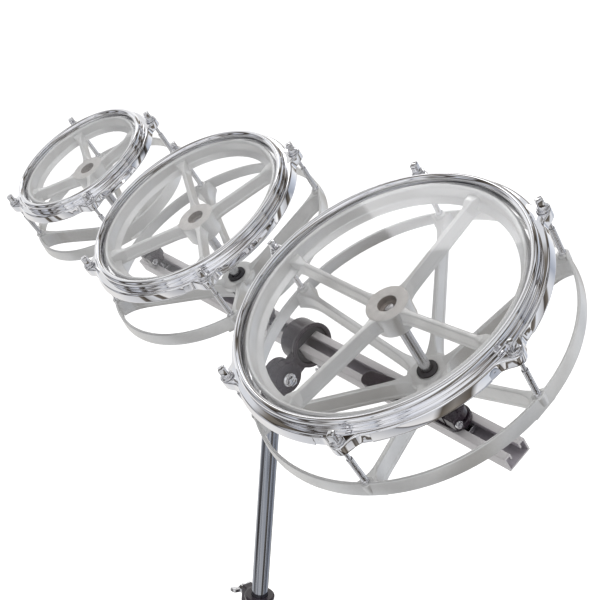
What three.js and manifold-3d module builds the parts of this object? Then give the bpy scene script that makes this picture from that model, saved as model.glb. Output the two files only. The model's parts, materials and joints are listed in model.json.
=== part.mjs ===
// A set of three rototoms on one rail, with its clamp, tilter and folding floor stand.
// Millimetres, +Z up. The origin is on the floor under the middle of the whole set. X runs along the
// rail from the large drum to the small one, and Y points to the player.
import * as THREE from 'three';
import { mergeVertices } from 'three/addons/utils/BufferGeometryUtils.js';
import Module from 'manifold-3d';

const wasm = await Module();
wasm.setup();

// Driving dimensions
const gap = 0.3;            // clearance between pieces that touch
const overrun = 2;          // how far a cutter or an embedded end runs past a face
const embed = 1;            // how far joined bodies run into each other
const tilt = THREE.MathUtils.degToRad(38.8);
const drums = [
  { name: 'large', head: 254, along: -252, lugs: 6, turnShare: 0.00222, steps: 32 },
  { name: 'medium', head: 203.2, along: 49.85, lugs: 4, turnShare: 0.16833, steps: 26 },
  { name: 'small', head: 152.4, along: 295.5, lugs: 4, turnShare: 0.1775, steps: 24 },
];

// Chrome counter hoop, offsets outwards from half the head size and up from the rim plane
const hoop = {
  wall: 2.2, beadRadius: 3.5, beadOut: 5, wallOut: 7.5, shelfTop: -9.8,
  shelfOut: 13.4, skirtOut: 14.5, skirtDrop: 1.4, skirtFootOut: 16.8, skirtFoot: -19,
  beadFromShare: -0.22, beadToShare: 1.2,
};
const ear = {
  halfWidth: 17, startOut: 11, waistOut: 15.5, waistHalf: 12.5, endRadius: 7.6, foot: -17.5, step: 0.1,
};
const rod = {
  out: 19.4, radius: 1.9, square: 6.8, squareHeight: 10, washerRadius: 6.2, washerHeight: 1.6, foot: -71,
};
const sleeve = { radius: 2.8, top: -31 };

// Clear head and its metal hoop
const film = { thickness: 0.6, top: -4, flatIn: 2, bendOut: 0.6, bendDrop: 1.2, footOut: 2.9 };
const flesh = { width: 4.3, height: 5.7 };

// Upper casting, which carries the head
const upper = {
  rimOut: -0.8, crownIn: 3.6, crownWidth: 2.2, shoulderDrop: 2.4, innerIn: 6, ledgeIn: 13,
  ledgeTop: -16.5, ledgeFoot: -20, foot: -25,
  hubRadius: 19.5, hubTop: -20, hubHeight: 23, recess: 8.5, recessDepth: 6.5, chamfer: 1.2,
  spokes: 4, spokeTopWidth: 4.6, spokeFootWidth: 6.8, spokeDepth: 14, rimDrop: 11.2, spokeUnder: 1,
  bossWidth: 13, bossDepth: 9, bossTop: -8, bossFoot: -24,
};

// Lower casting, which pulls the rods down
const lower = {
  topIn: 19.8, topOut: 22.6, footIn: 20.6, footOut: 24.5, top: -61, foot: -74.5,
  bossRadius: 5.4, bossFoot: -72, spokeTopWidth: 4.6, spokeFootWidth: 6, spokeDepth: 19.5, rimDepth: 17,
  rimDrop: 62, flareWidth: 19, flareLength: 15, hubRadius: 20, hubTop: -109, hubFlange: 6, neckRadius: 14,
  neckFoot: -130, spokeHubIn: 16, spokeUnder: 1,
};
const bush = { radius: 9, flangeRadius: 9.8, flangeHeight: 1.6 };
const shaft = {
  radius: 5.1, top: -25, tailRadius: 4, headLength: 26, headWidth: 21, headHeight: 5, headDrop: 0.6,
};

// Rail and what clamps the drums to it
const rail = {
  top: -183.4, width: 27.4, height: 16.9, wall: 1.8, slot: 11.2, lipReturn: 4.6, nearEnd: -321, farEnd: 328,
};
const footBody = {
  radius: 12, height: 18, neckRadius: 8.6, neckHeight: 6.4, slot: 3, slotRise: 8,
  lugHalf: 13, lugNear: 3, lugFar: 12.6,
};
const footBolt = { out: 8.4, rise: 12, radius: 2.2, headRadius: 3.8, headHeight: 3.6 };
const lever = {
  turnShare: 0.01167, eyeRadius: 14, eyeHeight: 5.8, tipRadius: 8.6, tipAt: 114, gripFrom: 22, gripHeight: 9,
};

// Rail clamp and tilter
const clamp = {
  near: -26, far: 2, outer: 25.4, neck: 23.4, rim: 4, bore: 20.7, discRadius: 17.5, discThickness: 12,
  webShare: 0.62, screwAlong: -10, railBack: 30, pivotDrop: 33,
};
const inner = { recess: 3.5, clear: 0.4 };
const clampScrew = {
  radius: 3, bossRadius: 6.5, bossHeight: 5, reach: 27, collarRadius: 5, wireRadius: 1.6, wireReach: 17,
  hook: 9, tipShare: 1.5, angle: THREE.MathUtils.degToRad(234),
};
const tilterBolt = { radius: 3.8, headRadius: 8, headHeight: 4.4, hexRadius: 5.6, hexHeight: 4, tail: 5 };
const tilterBase = {
  discRadius: 17.5, thickness: 11.2, sleeveRadius: 13.8, sleeveTop: -20, sleeveFoot: -66, roof: 6,
};

// Post and folding stand
const pivotHeight = 757;
const post = { radius: 9.5, foot: 250 };
const base = { radius: 12.7, wall: 1.9, top: 466, foot: 58 };
const heightClamp = { radius: 17.5, height: 34, above: 12, lugWidth: 13, lugOut: 27, lugHeight: 22 };
const heightScrew = { radius: 3, wingReach: 15, wingWidth: 4, wingHeight: 13, hubRadius: 5.6, hubHeight: 9 };
const legs = {
  count: 3, turnShare: 0.08333, pivotOut: 26, pivotHeight: 300, footOut: 330, radius: 8, pinRadius: 3,
};
const tab = { thickness: 4.6, radius: 6.6, length: 22 };
const hub = { wall: 5, height: 30, plate: 4, forkOut: 33, forkHeight: 16 };
const brace = { length: 110, thickness: 2.5, width: 12, side: 0.6 };
const collar = { wall: 4.8, height: 20, lug: 4.6, lugHeight: 13, pinHalf: 6.9 };
const boot = { radius: 11.5, length: 34, ground: 9, toeShare: 1.4 };

// Facets
const facets = { hex: 6, small: 8, medium: 10, large: 16, bead: 3, arc: 3 };

const chrome = { color: 0xc9ccd1, metalness: 1, roughness: 0.12 };
const cast = { color: 0xb4b6b9, metalness: 0.7, roughness: 0.5 };
const steel = { color: 0xa8aaad, metalness: 0.95, roughness: 0.3 };
const black = { color: 0x2a282c, metalness: 0.1, roughness: 0.5 };
const rubber = { color: 0x1b1b1d, metalness: 0, roughness: 0.8 };
const clear = { color: 0xe9ecef, metalness: 0, roughness: 0.15, transparent: true, opacity: 0.35 };

// Geometry helpers
function toSolid(geometry) {
  const bare = geometry.clone();
  for (const key of Object.keys(bare.attributes)) if (key !== 'position') bare.deleteAttribute(key);
  const merged = mergeVertices(bare, 1e-5);
  const source = merged.index.array;
  const kept = [];
  for (let i = 0; i < source.length; i += 3) {
    const [a, b, c] = [source[i], source[i + 1], source[i + 2]];
    if (a !== b && b !== c && c !== a) kept.push(a, b, c);
  }
  const place = merged.attributes.position;
  let volume = 0;
  const [p, q, r] = [new THREE.Vector3(), new THREE.Vector3(), new THREE.Vector3()];
  for (let i = 0; i < kept.length; i += 3) {
    p.fromBufferAttribute(place, kept[i]);
    q.fromBufferAttribute(place, kept[i + 1]);
    r.fromBufferAttribute(place, kept[i + 2]);
    volume += p.dot(q.cross(r));
  }
  const facing = volume < 0 ? kept.reverse() : kept;
  return new wasm.Manifold(new wasm.Mesh({
    numProp: 3, vertProperties: new Float32Array(place.array), triVerts: new Uint32Array(facing),
  }));
}

function join(...solids) {
  return solids.reduce((whole, one) => whole.add(one));
}

function cut(whole, ...cutters) {
  return cutters.reduce((left, one) => left.subtract(one), whole);
}

function asMesh(name, solid, look) {
  const data = solid.getMesh();
  const geometry = new THREE.BufferGeometry();
  geometry.setAttribute('position', new THREE.BufferAttribute(new Float32Array(data.vertProperties), 3));
  geometry.setIndex(new THREE.BufferAttribute(new Uint32Array(data.triVerts), 1));
  geometry.computeVertexNormals();
  const mesh = new THREE.Mesh(geometry, new THREE.MeshStandardMaterial(look));
  mesh.name = name;
  return mesh;
}

// A profile of [radius, height] points, turned about Z
function turned(points, steps) {
  const outline = points.map(([x, y]) => new THREE.Vector2(x, y));
  outline.push(outline[0].clone());
  return toSolid(new THREE.LatheGeometry(outline, steps).rotateX(Math.PI / 2));
}

function tube(outer, bore, low, high, steps) {
  return turned([[bore, low], [outer, low], [outer, high], [bore, high]], steps);
}

function pin(radius, low, high, steps) {
  return tube(radius, 0, low, high, steps);
}

// An outline in XY, raised from one height to another
function raised(shape, low, high, curve = facets.arc) {
  const options = { depth: high - low, bevelEnabled: false, curveSegments: curve };
  return toSolid(new THREE.ExtrudeGeometry(shape, options).translate(0, 0, low));
}

function block(x0, x1, y0, y1, z0, z1) {
  const box = new THREE.BoxGeometry(x1 - x0, y1 - y0, z1 - z0);
  return toSolid(box.translate((x0 + x1) / 2, (y0 + y1) / 2, (z0 + z1) / 2));
}

// A bar along X whose ends are given as { at, top, depth, topWidth, footWidth }
function bar(start, end) {
  const corners = [];
  for (const one of [start, end]) {
    const foot = one.top - one.depth;
    corners.push([one.at, -one.topWidth / 2, one.top], [one.at, one.topWidth / 2, one.top]);
    corners.push([one.at, one.footWidth / 2, foot], [one.at, -one.footWidth / 2, foot]);
  }
  const faces = [0, 1, 2, 0, 2, 3, 4, 6, 5, 4, 7, 6];
  for (let i = 0; i < 4; i += 1) {
    const next = (i + 1) % 4;
    faces.push(i, 4 + i, 4 + next, i, 4 + next, next);
  }
  const geometry = new THREE.BufferGeometry();
  geometry.setAttribute('position', new THREE.BufferAttribute(new Float32Array(corners.flat()), 3));
  geometry.setIndex(faces);
  return toSolid(geometry);
}

// Turns a solid about Z by a share of a full turn
function about(solid, share) {
  return solid.rotate([0, 0, THREE.MathUtils.radToDeg(2 * Math.PI * share)]);
}

function around(count, turnShare, make) {
  return Array.from({ length: count }, (_, i) => about(make(i), turnShare + i / count));
}

// Turns a solid made along Z so that its axis runs along X
function alongX(solid) {
  return solid.rotate([0, 90, 0]);
}

// The drum's chrome hoop
function earOutline(half) {
  const side = new THREE.Shape();
  side.moveTo(half + ear.startOut, -ear.halfWidth);
  side.lineTo(half + ear.waistOut, -ear.waistHalf);
  side.absarc(half + rod.out, 0, ear.endRadius, -Math.PI / 3, Math.PI / 3, false);
  side.lineTo(half + ear.waistOut, ear.waistHalf);
  side.lineTo(half + ear.startOut, ear.halfWidth);
  return side;
}

function makeHoop(drum, half) {
  const shelfFoot = hoop.shelfTop - hoop.wall;
  const bead = [];
  for (let i = 0; i <= facets.bead; i += 1) {
    const angle = THREE.MathUtils.lerp(hoop.beadFromShare, hoop.beadToShare, i / facets.bead) * Math.PI;
    const out = hoop.beadOut + hoop.beadRadius * Math.cos(angle);
    bead.push([half + out, hoop.beadRadius * (Math.sin(angle) - 1)]);
  }
  const ring = turned([
    [half + hoop.wallOut - hoop.wall, shelfFoot],
    [half + hoop.shelfOut - hoop.wall / 2, shelfFoot],
    [half + hoop.skirtFootOut - hoop.wall, hoop.skirtFoot],
    [half + hoop.skirtFootOut, hoop.skirtFoot],
    [half + hoop.skirtOut, hoop.shelfTop - hoop.skirtDrop],
    [half + hoop.shelfOut, hoop.shelfTop],
    [half + hoop.wallOut, hoop.shelfTop],
    ...bead,
  ], drum.steps);
  const earTop = hoop.shelfTop - ear.step;
  const ears = around(drum.lugs, drum.turnShare, () => raised(earOutline(half), ear.foot, earTop));
  const holes = around(drum.lugs, drum.turnShare, () => (
    pin(rod.radius + gap, ear.foot - overrun, hoop.shelfTop + overrun, facets.small)
      .translate([half + rod.out, 0, 0])
  ));
  return cut(join(ring, ...ears), ...holes);
}

function makeHead(drum, half) {
  const low = film.top - film.thickness;
  const top = hoop.shelfTop - hoop.wall - gap;
  const bore = half + film.footOut - film.thickness;
  return turned([
    [0, low],
    [half - film.flatIn, low],
    [half + film.bendOut - film.thickness, film.top - film.bendDrop - film.thickness],
    [bore, top],
    [bore, top - flesh.height],
    [bore + flesh.width, top - flesh.height],
    [bore + flesh.width, top],
    [half + film.footOut, top],
    [half + film.bendOut, film.top - film.bendDrop],
    [half - film.flatIn, film.top],
    [0, film.top],
  ], drum.steps);
}

// The upper casting
function makeUpperFrame(drum, half) {
  const crown = film.top - film.thickness - gap;
  const rim = turned([
    [half - upper.innerIn, crown - upper.shoulderDrop],
    [half - upper.crownIn - upper.crownWidth / 2, crown],
    [half - upper.crownIn + upper.crownWidth / 2, crown],
    [half + upper.rimOut, crown - upper.shoulderDrop],
    [half + upper.rimOut, upper.foot],
    [half - upper.ledgeIn, upper.ledgeFoot],
    [half - upper.innerIn, upper.ledgeTop],
  ], drum.steps);
  const hubFoot = upper.hubTop - upper.hubHeight;
  const centre = turned([
    [0, hubFoot], [upper.hubRadius, hubFoot], [upper.hubRadius, upper.hubTop - upper.chamfer],
    [upper.hubRadius - upper.chamfer, upper.hubTop], [0, upper.hubTop],
  ], facets.large);
  const width = { topWidth: upper.spokeTopWidth, footWidth: upper.spokeFootWidth };
  const spokes = around(upper.spokes, drum.turnShare, () => bar(
    { at: upper.recess + overrun, top: upper.hubTop - upper.spokeUnder, depth: upper.spokeDepth, ...width },
    { at: half - upper.innerIn + embed, top: -upper.rimDrop, depth: upper.spokeDepth, ...width },
  ));
  const bosses = around(upper.spokes, drum.turnShare, () => bar(
    { at: half - upper.ledgeIn - upper.bossDepth, top: -upper.rimDrop, depth: upper.spokeDepth, ...width },
    {
      at: half - upper.innerIn + embed, top: upper.bossTop, depth: upper.bossTop - upper.bossFoot,
      topWidth: upper.bossWidth, footWidth: upper.bossWidth,
    },
  ));
  const hole = pin(shaft.radius + gap, hubFoot - overrun, upper.hubTop + overrun, facets.large);
  const recess = pin(upper.recess, upper.hubTop - upper.recessDepth, upper.hubTop + overrun, facets.large);
  return cut(join(rim, centre, ...spokes, ...bosses), hole, recess);
}

// The lower casting
function makeLowerFrame(drum, half) {
  const ring = turned([
    [half + lower.footIn, lower.foot], [half + lower.footOut, lower.foot],
    [half + lower.topOut, lower.top], [half + lower.topIn, lower.top],
  ], drum.steps);
  const centre = turned([
    [0, lower.neckFoot], [lower.neckRadius, lower.neckFoot],
    [lower.neckRadius, lower.hubTop - lower.hubFlange], [lower.hubRadius, lower.hubTop - lower.hubFlange],
    [lower.hubRadius, lower.hubTop], [0, lower.hubTop],
  ], facets.large);
  const width = { topWidth: lower.spokeTopWidth, footWidth: lower.spokeFootWidth };
  const rimEnd = { at: half + lower.topIn + embed, top: -lower.rimDrop, depth: lower.rimDepth };
  const hubEnd = { at: lower.spokeHubIn, top: lower.hubTop - lower.spokeUnder, depth: lower.spokeDepth };
  const share = lower.flareLength / (rimEnd.at - hubEnd.at);
  const flareTop = THREE.MathUtils.lerp(rimEnd.top, hubEnd.top, share);
  const flareDepth = THREE.MathUtils.lerp(rimEnd.depth, hubEnd.depth, share);
  const spokes = around(drum.lugs, drum.turnShare, () => join(
    bar({ ...hubEnd, ...width }, { ...rimEnd, ...width }),
    bar(
      { at: rimEnd.at - lower.flareLength, top: flareTop, depth: flareDepth, ...width },
      { ...rimEnd, topWidth: lower.flareWidth, footWidth: lower.flareWidth },
    ),
  ));
  const inside = turned([
    [0, lower.foot], [half + lower.footOut, lower.foot], [half + lower.topOut, lower.top], [0, lower.top],
  ], drum.steps);
  const bosses = around(drum.lugs, drum.turnShare, () => (
    pin(lower.bossRadius, lower.bossFoot, lower.top, facets.medium).translate([half + rod.out, 0, 0])
      .intersect(inside)
  ));
  const holes = around(drum.lugs, drum.turnShare, () => (
    pin(rod.radius + gap, lower.foot - lower.spokeDepth, sleeve.top + overrun, facets.small)
      .translate([half + rod.out, 0, 0])
  ));
  const sleeves = around(drum.lugs, drum.turnShare, () => (
    pin(sleeve.radius, lower.top - embed, sleeve.top, facets.small).translate([half + rod.out, 0, 0])
  ));
  const bore = pin(bush.radius + gap, lower.neckFoot - overrun, lower.hubTop + overrun, facets.large);
  return cut(join(ring, centre, ...spokes, ...bosses, ...sleeves), bore, ...holes);
}

// Rods, sleeves and turned parts
function makeRod(half) {
  const seat = hoop.shelfTop + gap;
  const washerTop = seat + rod.washerHeight;
  const side = rod.square / 2;
  return join(
    pin(rod.washerRadius, seat, washerTop, facets.medium),
    block(-side, side, -side, side, washerTop - embed / 2, washerTop + rod.squareHeight),
    pin(rod.radius, rod.foot, washerTop, facets.small),
  ).translate([half + rod.out, 0, 0]);
}

function makeShaft() {
  const headTop = rail.top - rail.wall - rail.lipReturn - shaft.headDrop;
  const [x, y] = [shaft.headLength / 2, shaft.headWidth / 2];
  return join(
    pin(shaft.radius, rail.top + gap, shaft.top, facets.medium),
    pin(shaft.tailRadius, headTop - embed, rail.top + gap + embed, facets.medium),
    block(-x, x, -y, y, headTop - shaft.headHeight, headTop),
  );
}

function makeBush() {
  const inside = shaft.radius + gap;
  const seat = lower.hubTop + gap;
  return turned([
    [inside, lower.neckFoot], [bush.radius, lower.neckFoot], [bush.radius, seat], [bush.flangeRadius, seat],
    [bush.flangeRadius, seat + bush.flangeHeight], [inside, seat + bush.flangeHeight],
  ], facets.large);
}

// Split foot that grips the shaft, its pinch bolt, and the lever round the large drum's foot
const railSeat = rail.top + gap;

function makeFoot() {
  const top = railSeat + footBody.height;
  const shoulder = railSeat + footBody.neckHeight;
  const body = join(
    pin(footBody.neckRadius, railSeat, shoulder + embed, facets.large),
    pin(footBody.radius, shoulder, top, facets.large),
    block(-footBody.lugHalf, footBody.lugHalf, footBody.lugNear, footBody.lugFar, shoulder, top),
  );
  const bore = pin(shaft.radius + gap, railSeat - overrun, top + overrun, facets.medium);
  const side = footBody.slot / 2;
  const slot = block(-side, side, 0, footBody.lugFar + overrun, railSeat + footBody.slotRise, top + overrun);
  const reach = footBody.lugHalf + overrun;
  const hole = alongX(pin(footBolt.radius + gap, -reach, reach, facets.small))
    .translate([0, footBolt.out, railSeat + footBolt.rise]);
  return cut(body, bore, slot, hole);
}

function makeFootBolt() {
  const face = -footBody.lugHalf - gap;
  return alongX(join(
    pin(footBolt.radius, face - embed, footBody.lugHalf, facets.small),
    pin(footBolt.headRadius, face - footBolt.headHeight, face, facets.medium),
  )).translate([0, footBolt.out, railSeat + footBolt.rise]);
}

// Two circles of different size and the straight sides that touch them both
function taperedOutline(rootAt, root, tipAt, tip) {
  const lean = Math.acos((root - tip) / (tipAt - rootAt));
  const outline = new THREE.Shape();
  outline.absarc(rootAt, 0, root, lean, 2 * Math.PI - lean, false);
  outline.absarc(tipAt, 0, tip, -lean, lean, false);
  return outline;
}

function makeRailLever() {
  const outline = taperedOutline(0, lever.eyeRadius, lever.tipAt, lever.tipRadius);
  const plate = raised(outline, railSeat, railSeat + lever.eyeHeight, facets.medium / 2);
  const whole = raised(outline, railSeat, railSeat + lever.gripHeight, facets.medium / 2);
  const [low, high] = [railSeat - overrun, railSeat + lever.gripHeight + overrun];
  const bore = pin(footBody.neckRadius + gap, low, high, facets.large);
  const grip = cut(whole, block(-lever.tipAt, lever.gripFrom, -lever.tipAt, lever.tipAt, low, high));
  return about(cut(join(plate, grip), bore), lever.turnShare);
}

function makeDrum(drum) {
  const half = drum.head / 2;
  const group = new THREE.Group();
  const put = (name, solid, look) => group.add(asMesh(`${drum.name}_${name}`, solid, look));
  put('hoop', makeHoop(drum, half), chrome);
  put('head', makeHead(drum, half), clear);
  put('upper_frame', makeUpperFrame(drum, half), cast);
  put('lower_frame', makeLowerFrame(drum, half), cast);
  around(drum.lugs, drum.turnShare, () => makeRod(half)).forEach((one, i) => put(`rod_${i + 1}`, one, chrome));
  put('shaft', makeShaft(), steel);
  put('shaft_bush', makeBush(), rubber);
  put('foot', makeFoot(), black);
  put('foot_bolt', makeFootBolt(), chrome);
  group.position.set(drum.along, 0, 0);
  return group;
}

// The rail, a channel with returned lips
function makeRail() {
  const [half, low, wall] = [rail.width / 2, rail.top - rail.height, rail.wall];
  const [edge, lip] = [rail.slot / 2, rail.top - wall - rail.lipReturn];
  const right = [
    [half, low], [half, rail.top], [edge, rail.top], [edge, lip], [edge + wall, lip],
    [edge + wall, rail.top - wall], [half - wall, rail.top - wall], [half - wall, low + wall],
  ];
  const left = right.map(([y, z]) => [-y, z]).reverse();
  const outline = new THREE.Shape([...right, ...left].map(([y, z]) => new THREE.Vector2(y, z)));
  const length = rail.farEnd - rail.nearEnd;
  const geometry = new THREE.ExtrudeGeometry(outline, { depth: length, bevelEnabled: false });
  return toSolid(geometry.rotateX(Math.PI / 2).rotateZ(Math.PI / 2).translate(rail.nearEnd, 0, 0));
}

const railMiddle = rail.top - rail.height / 2;

// From the middle of the rail to the tilter's pivot, in the frame of the drums
const pivotY = clamp.railBack * Math.cos(tilt) + clamp.pivotDrop * Math.sin(tilt);
const pivotZ = railMiddle + clamp.railBack * Math.sin(tilt) - clamp.pivotDrop * Math.cos(tilt);

function makeRailClamp() {
  const neckLow = clamp.near + clamp.rim;
  const ring = alongX(turned([
    [clamp.bore, clamp.near], [clamp.outer, clamp.near], [clamp.outer, neckLow],
    [clamp.neck, neckLow + embed], [clamp.neck, clamp.far], [clamp.bore, clamp.far],
  ], facets.large)).translate([0, 0, railMiddle]);
  const discFar = clamp.near + clamp.discThickness;
  const disc = alongX(pin(clamp.discRadius, clamp.near, discFar, facets.large))
    .translate([0, pivotY, pivotZ]);
  const [runY, runZ] = [pivotY, pivotZ - railMiddle];
  const run = Math.hypot(runY, runZ);
  const web = block(
    clamp.near, discFar, 0, run, -clamp.discRadius * clamp.webShare, clamp.discRadius * clamp.webShare,
  ).rotate([THREE.MathUtils.radToDeg(Math.atan2(runZ, runY)), 0, 0]).translate([0, 0, railMiddle]);
  const bore = alongX(pin(clamp.bore, clamp.near - overrun, clamp.far + overrun, facets.large))
    .translate([0, 0, railMiddle]);
  const [holeLow, holeHigh] = [clamp.near - overrun, discFar + overrun];
  const boltHole = alongX(pin(tilterBolt.radius + gap, holeLow, holeHigh, facets.medium))
    .translate([0, pivotY, pivotZ]);
  const boss = screwPlaced(pin(
    clampScrew.bossRadius, clamp.neck - embed, clamp.neck + clampScrew.bossHeight, facets.medium,
  ));
  const screwHole = screwPlaced(pin(clampScrew.radius + gap, clamp.bore - overrun,
    clamp.neck + clampScrew.bossHeight + overrun, facets.medium));
  return cut(join(ring, disc, web, boss), bore, boltHole, screwHole);
}

// Puts a piece made along Z onto the clamp's screw, which points down and back on the standing object
function screwPlaced(solid) {
  const lean = THREE.MathUtils.radToDeg(clampScrew.angle + tilt) - 90;
  return solid.rotate([lean, 0, 0]).translate([clamp.screwAlong, 0, railMiddle]);
}

function makeRailSleeve() {
  const [near, far] = [clamp.near + inner.recess, clamp.far - inner.recess];
  const radius = (clamp.bore - gap) * Math.cos(Math.PI / facets.large);
  const plug = alongX(pin(radius, near, far, facets.large)).translate([0, 0, railMiddle]);
  const wide = rail.width / 2 + inner.clear;
  const tall = rail.height / 2 + inner.clear;
  return cut(plug, block(near - overrun, far + overrun, -wide, wide, railMiddle - tall, railMiddle + tall));
}

function makeClampScrew() {
  const start = clamp.bore + gap;
  const end = clamp.neck + clampScrew.bossHeight + clampScrew.reach;
  const shank = pin(clampScrew.radius, start, end, facets.small);
  const knob = pin(clampScrew.collarRadius, clamp.neck + clampScrew.bossHeight + gap,
    clamp.neck + clampScrew.bossHeight + clampScrew.collarRadius, facets.medium);
  const wire = alongX(pin(clampScrew.wireRadius, 0, clampScrew.wireReach, facets.small))
    .translate([0, 0, end - clampScrew.wireRadius]);
  const ball = clampScrew.wireRadius * clampScrew.tipShare;
  const tip = pin(ball, end - clampScrew.wireRadius, end + clampScrew.hook, facets.small)
    .translate([clampScrew.wireReach, 0, 0]);
  return screwPlaced(join(shank, knob, wire, tip));
}

const discFace = clamp.near + clamp.discThickness + gap;
const baseFar = discFace + tilterBase.thickness;

function makeTilterBolt() {
  const face = clamp.near - gap;
  return join(
    alongX(pin(tilterBolt.headRadius, face - tilterBolt.headHeight, face, facets.large)),
    alongX(pin(tilterBolt.hexRadius, face - tilterBolt.headHeight - tilterBolt.hexHeight, face, facets.hex)),
    alongX(pin(tilterBolt.radius, face - embed, baseFar + tilterBolt.tail, facets.medium)),
  ).translate([0, 0, pivotHeight]);
}

// A hub with two flat wings, standing on Z
function wings(size, low, high) {
  const wing = block(-size.wingReach, size.wingReach, -size.wingWidth / 2, size.wingWidth / 2,
    high - embed, low + size.wingHeight);
  return join(pin(size.hubRadius, low, high, facets.medium), wing);
}

function makeTilterBase() {
  const disc = alongX(pin(tilterBase.discRadius, discFace, baseFar, facets.large));
  const side = tilterBase.sleeveRadius;
  const roof = tilterBase.sleeveTop - tilterBase.roof;
  const neck = block(discFace, baseFar, -side, side, roof, 0);
  const socket = pin(side, tilterBase.sleeveFoot, tilterBase.sleeveTop, facets.large);
  const bore = pin(post.radius + gap, tilterBase.sleeveFoot - overrun, roof, facets.large);
  const boltHole = alongX(pin(tilterBolt.radius + gap, discFace - overrun, baseFar + overrun, facets.medium));
  return cut(join(disc, neck, socket), bore, boltHole).translate([0, 0, pivotHeight]);
}

// Post, telescoping tube and its clamp
function makePost() {
  const top = pivotHeight + tilterBase.sleeveTop - tilterBase.roof - gap;
  return pin(post.radius, post.foot, top, facets.large);
}

function makeBaseTube() {
  return tube(base.radius, base.radius - base.wall, base.foot, base.top, facets.large);
}

const clampFoot = base.top + heightClamp.above - heightClamp.height;
const screwHeight = base.top + heightClamp.above - heightClamp.lugHeight / 2;

function makeHeightClamp() {
  const top = base.top + heightClamp.above;
  const half = heightClamp.lugWidth / 2;
  const body = join(
    pin(heightClamp.radius, clampFoot, top, facets.large),
    block(0, heightClamp.lugOut, -half, half, top - heightClamp.lugHeight, top),
  );
  const seat = pin(base.radius + gap, clampFoot - overrun, base.top + gap, facets.large);
  const bore = pin(post.radius + gap, clampFoot - overrun, top + overrun, facets.large);
  const hole = alongX(pin(heightScrew.radius + gap, post.radius, heightClamp.lugOut + overrun, facets.medium))
    .translate([0, 0, screwHeight]);
  return cut(body, seat, bore, hole);
}

function makeHeightScrew() {
  const low = heightClamp.lugOut + gap;
  const shank = pin(heightScrew.radius, base.radius + gap + embed, low + embed, facets.small);
  const head = wings(heightScrew, low, low + heightScrew.hubHeight);
  return alongX(join(shank, head).rotate([0, 0, 90])).translate([0, 0, screwHeight]);
}

// Folding legs: a leg and its brace make equal angles with the post
const legRun = legs.footOut - legs.pivotOut;
const legLean = Math.atan2(legRun, legs.pivotHeight - boot.ground);
const legLength = Math.hypot(legRun, legs.pivotHeight - boot.ground);
const leanDegrees = THREE.MathUtils.radToDeg(legLean);

// Puts a piece made along Z, hanging down from its origin, onto a leg's pivot
function hung(solid, out, height, degrees) {
  return solid.rotate([0, -degrees, 0]).translate([out, 0, height]);
}

// A cross pin along Y
function crossPin(radius, half) {
  return pin(radius, -half, half, facets.small).rotate([90, 0, 0]);
}

function eye(radius, length, low, high) {
  const shape = new THREE.Shape();
  shape.moveTo(-length, -radius);
  shape.absarc(0, 0, radius, -Math.PI / 2, Math.PI / 2, false);
  shape.lineTo(-length, radius);
  return raised(shape, low, high, facets.arc);
}

function makeLegHub() {
  const [low, high] = [legs.pivotHeight - hub.height / 2, legs.pivotHeight + hub.height / 2];
  const ring = pin(base.radius + hub.wall, low, high, facets.large);
  const inside = tab.thickness / 2 + gap;
  const side = inside + hub.plate;
  const fork = around(legs.count, legs.turnShare, () => join(
    ...[-1, 1].map((sign) => {
      const [y0, y1] = [sign * inside, sign * side].sort((a, b) => a - b);
      const [z0, z1] = [legs.pivotHeight - hub.forkHeight / 2, legs.pivotHeight + hub.forkHeight / 2];
      return block(base.radius + hub.wall / 2, hub.forkOut, y0, y1, z0, z1);
    }),
    crossPin(legs.pinRadius, side).translate([legs.pivotOut, 0, legs.pivotHeight]),
  ));
  return cut(join(ring, ...fork), pin(base.radius + gap, low - overrun, high + overrun, facets.large));
}

function makeLeg(turnShare) {
  const end = legLength - boot.radius / 2;
  const flat = eye(tab.radius, tab.length + embed, -tab.thickness / 2, tab.thickness / 2)
    .rotate([90, 0, 0]).rotate([0, -90, 0]);
  const rise = pin(legs.radius, -end, -tab.length, facets.medium);
  const hole = crossPin(legs.pinRadius + gap, tab.thickness);
  const braceHole = crossPin(legs.pinRadius + gap, legs.radius + overrun).translate([0, 0, -brace.length]);
  const leg = cut(join(flat, rise), hole, braceHole);
  return about(hung(leg, legs.pivotOut, legs.pivotHeight, leanDegrees), turnShare);
}

const braceTop = {
  out: legs.pivotOut + brace.length * Math.sin(legLean),
  height: legs.pivotHeight - brace.length * Math.cos(legLean),
};

function makeBrace(turnShare) {
  const half = brace.width / 2;
  const side = legs.radius + brace.side;
  const strips = [-1, 1].map((sign) => {
    const [y0, y1] = [sign * side, sign * (side + brace.thickness)].sort((a, b) => a - b);
    const plate = join(
      block(-half, half, y0, y1, -brace.length, 0),
      pin(half, y0, y1, facets.medium).rotate([-90, 0, 0]),
      pin(half, y0, y1, facets.medium).rotate([-90, 0, 0]).translate([0, 0, -brace.length]),
    );
    return plate;
  });
  const whole = join(...strips, crossPin(legs.pinRadius, side + brace.thickness));
  return about(hung(whole, braceTop.out, braceTop.height, -leanDegrees), turnShare);
}

const collarHeight = legs.pivotHeight - 2 * brace.length * Math.cos(legLean);

function makeBraceCollar() {
  const [low, high] = [collarHeight - collar.height / 2, collarHeight + collar.height / 2];
  const ring = pin(base.radius + collar.wall, low, high, facets.large);
  const [x0, x1] = [base.radius + collar.wall / 2, legs.pivotOut + legs.pinRadius + embed];
  const [z0, z1] = [collarHeight - collar.lugHeight / 2, collarHeight + collar.lugHeight / 2];
  const lugs = around(legs.count, legs.turnShare, () => join(
    block(x0, x1, -collar.lug / 2, collar.lug / 2, z0, z1),
    crossPin(legs.pinRadius, collar.pinHalf).translate([legs.pivotOut, 0, collarHeight]),
  ));
  const bore = pin(base.radius + gap, low - overrun, high + overrun, facets.large);
  return cut(join(ring, ...lugs), bore);
}

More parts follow.
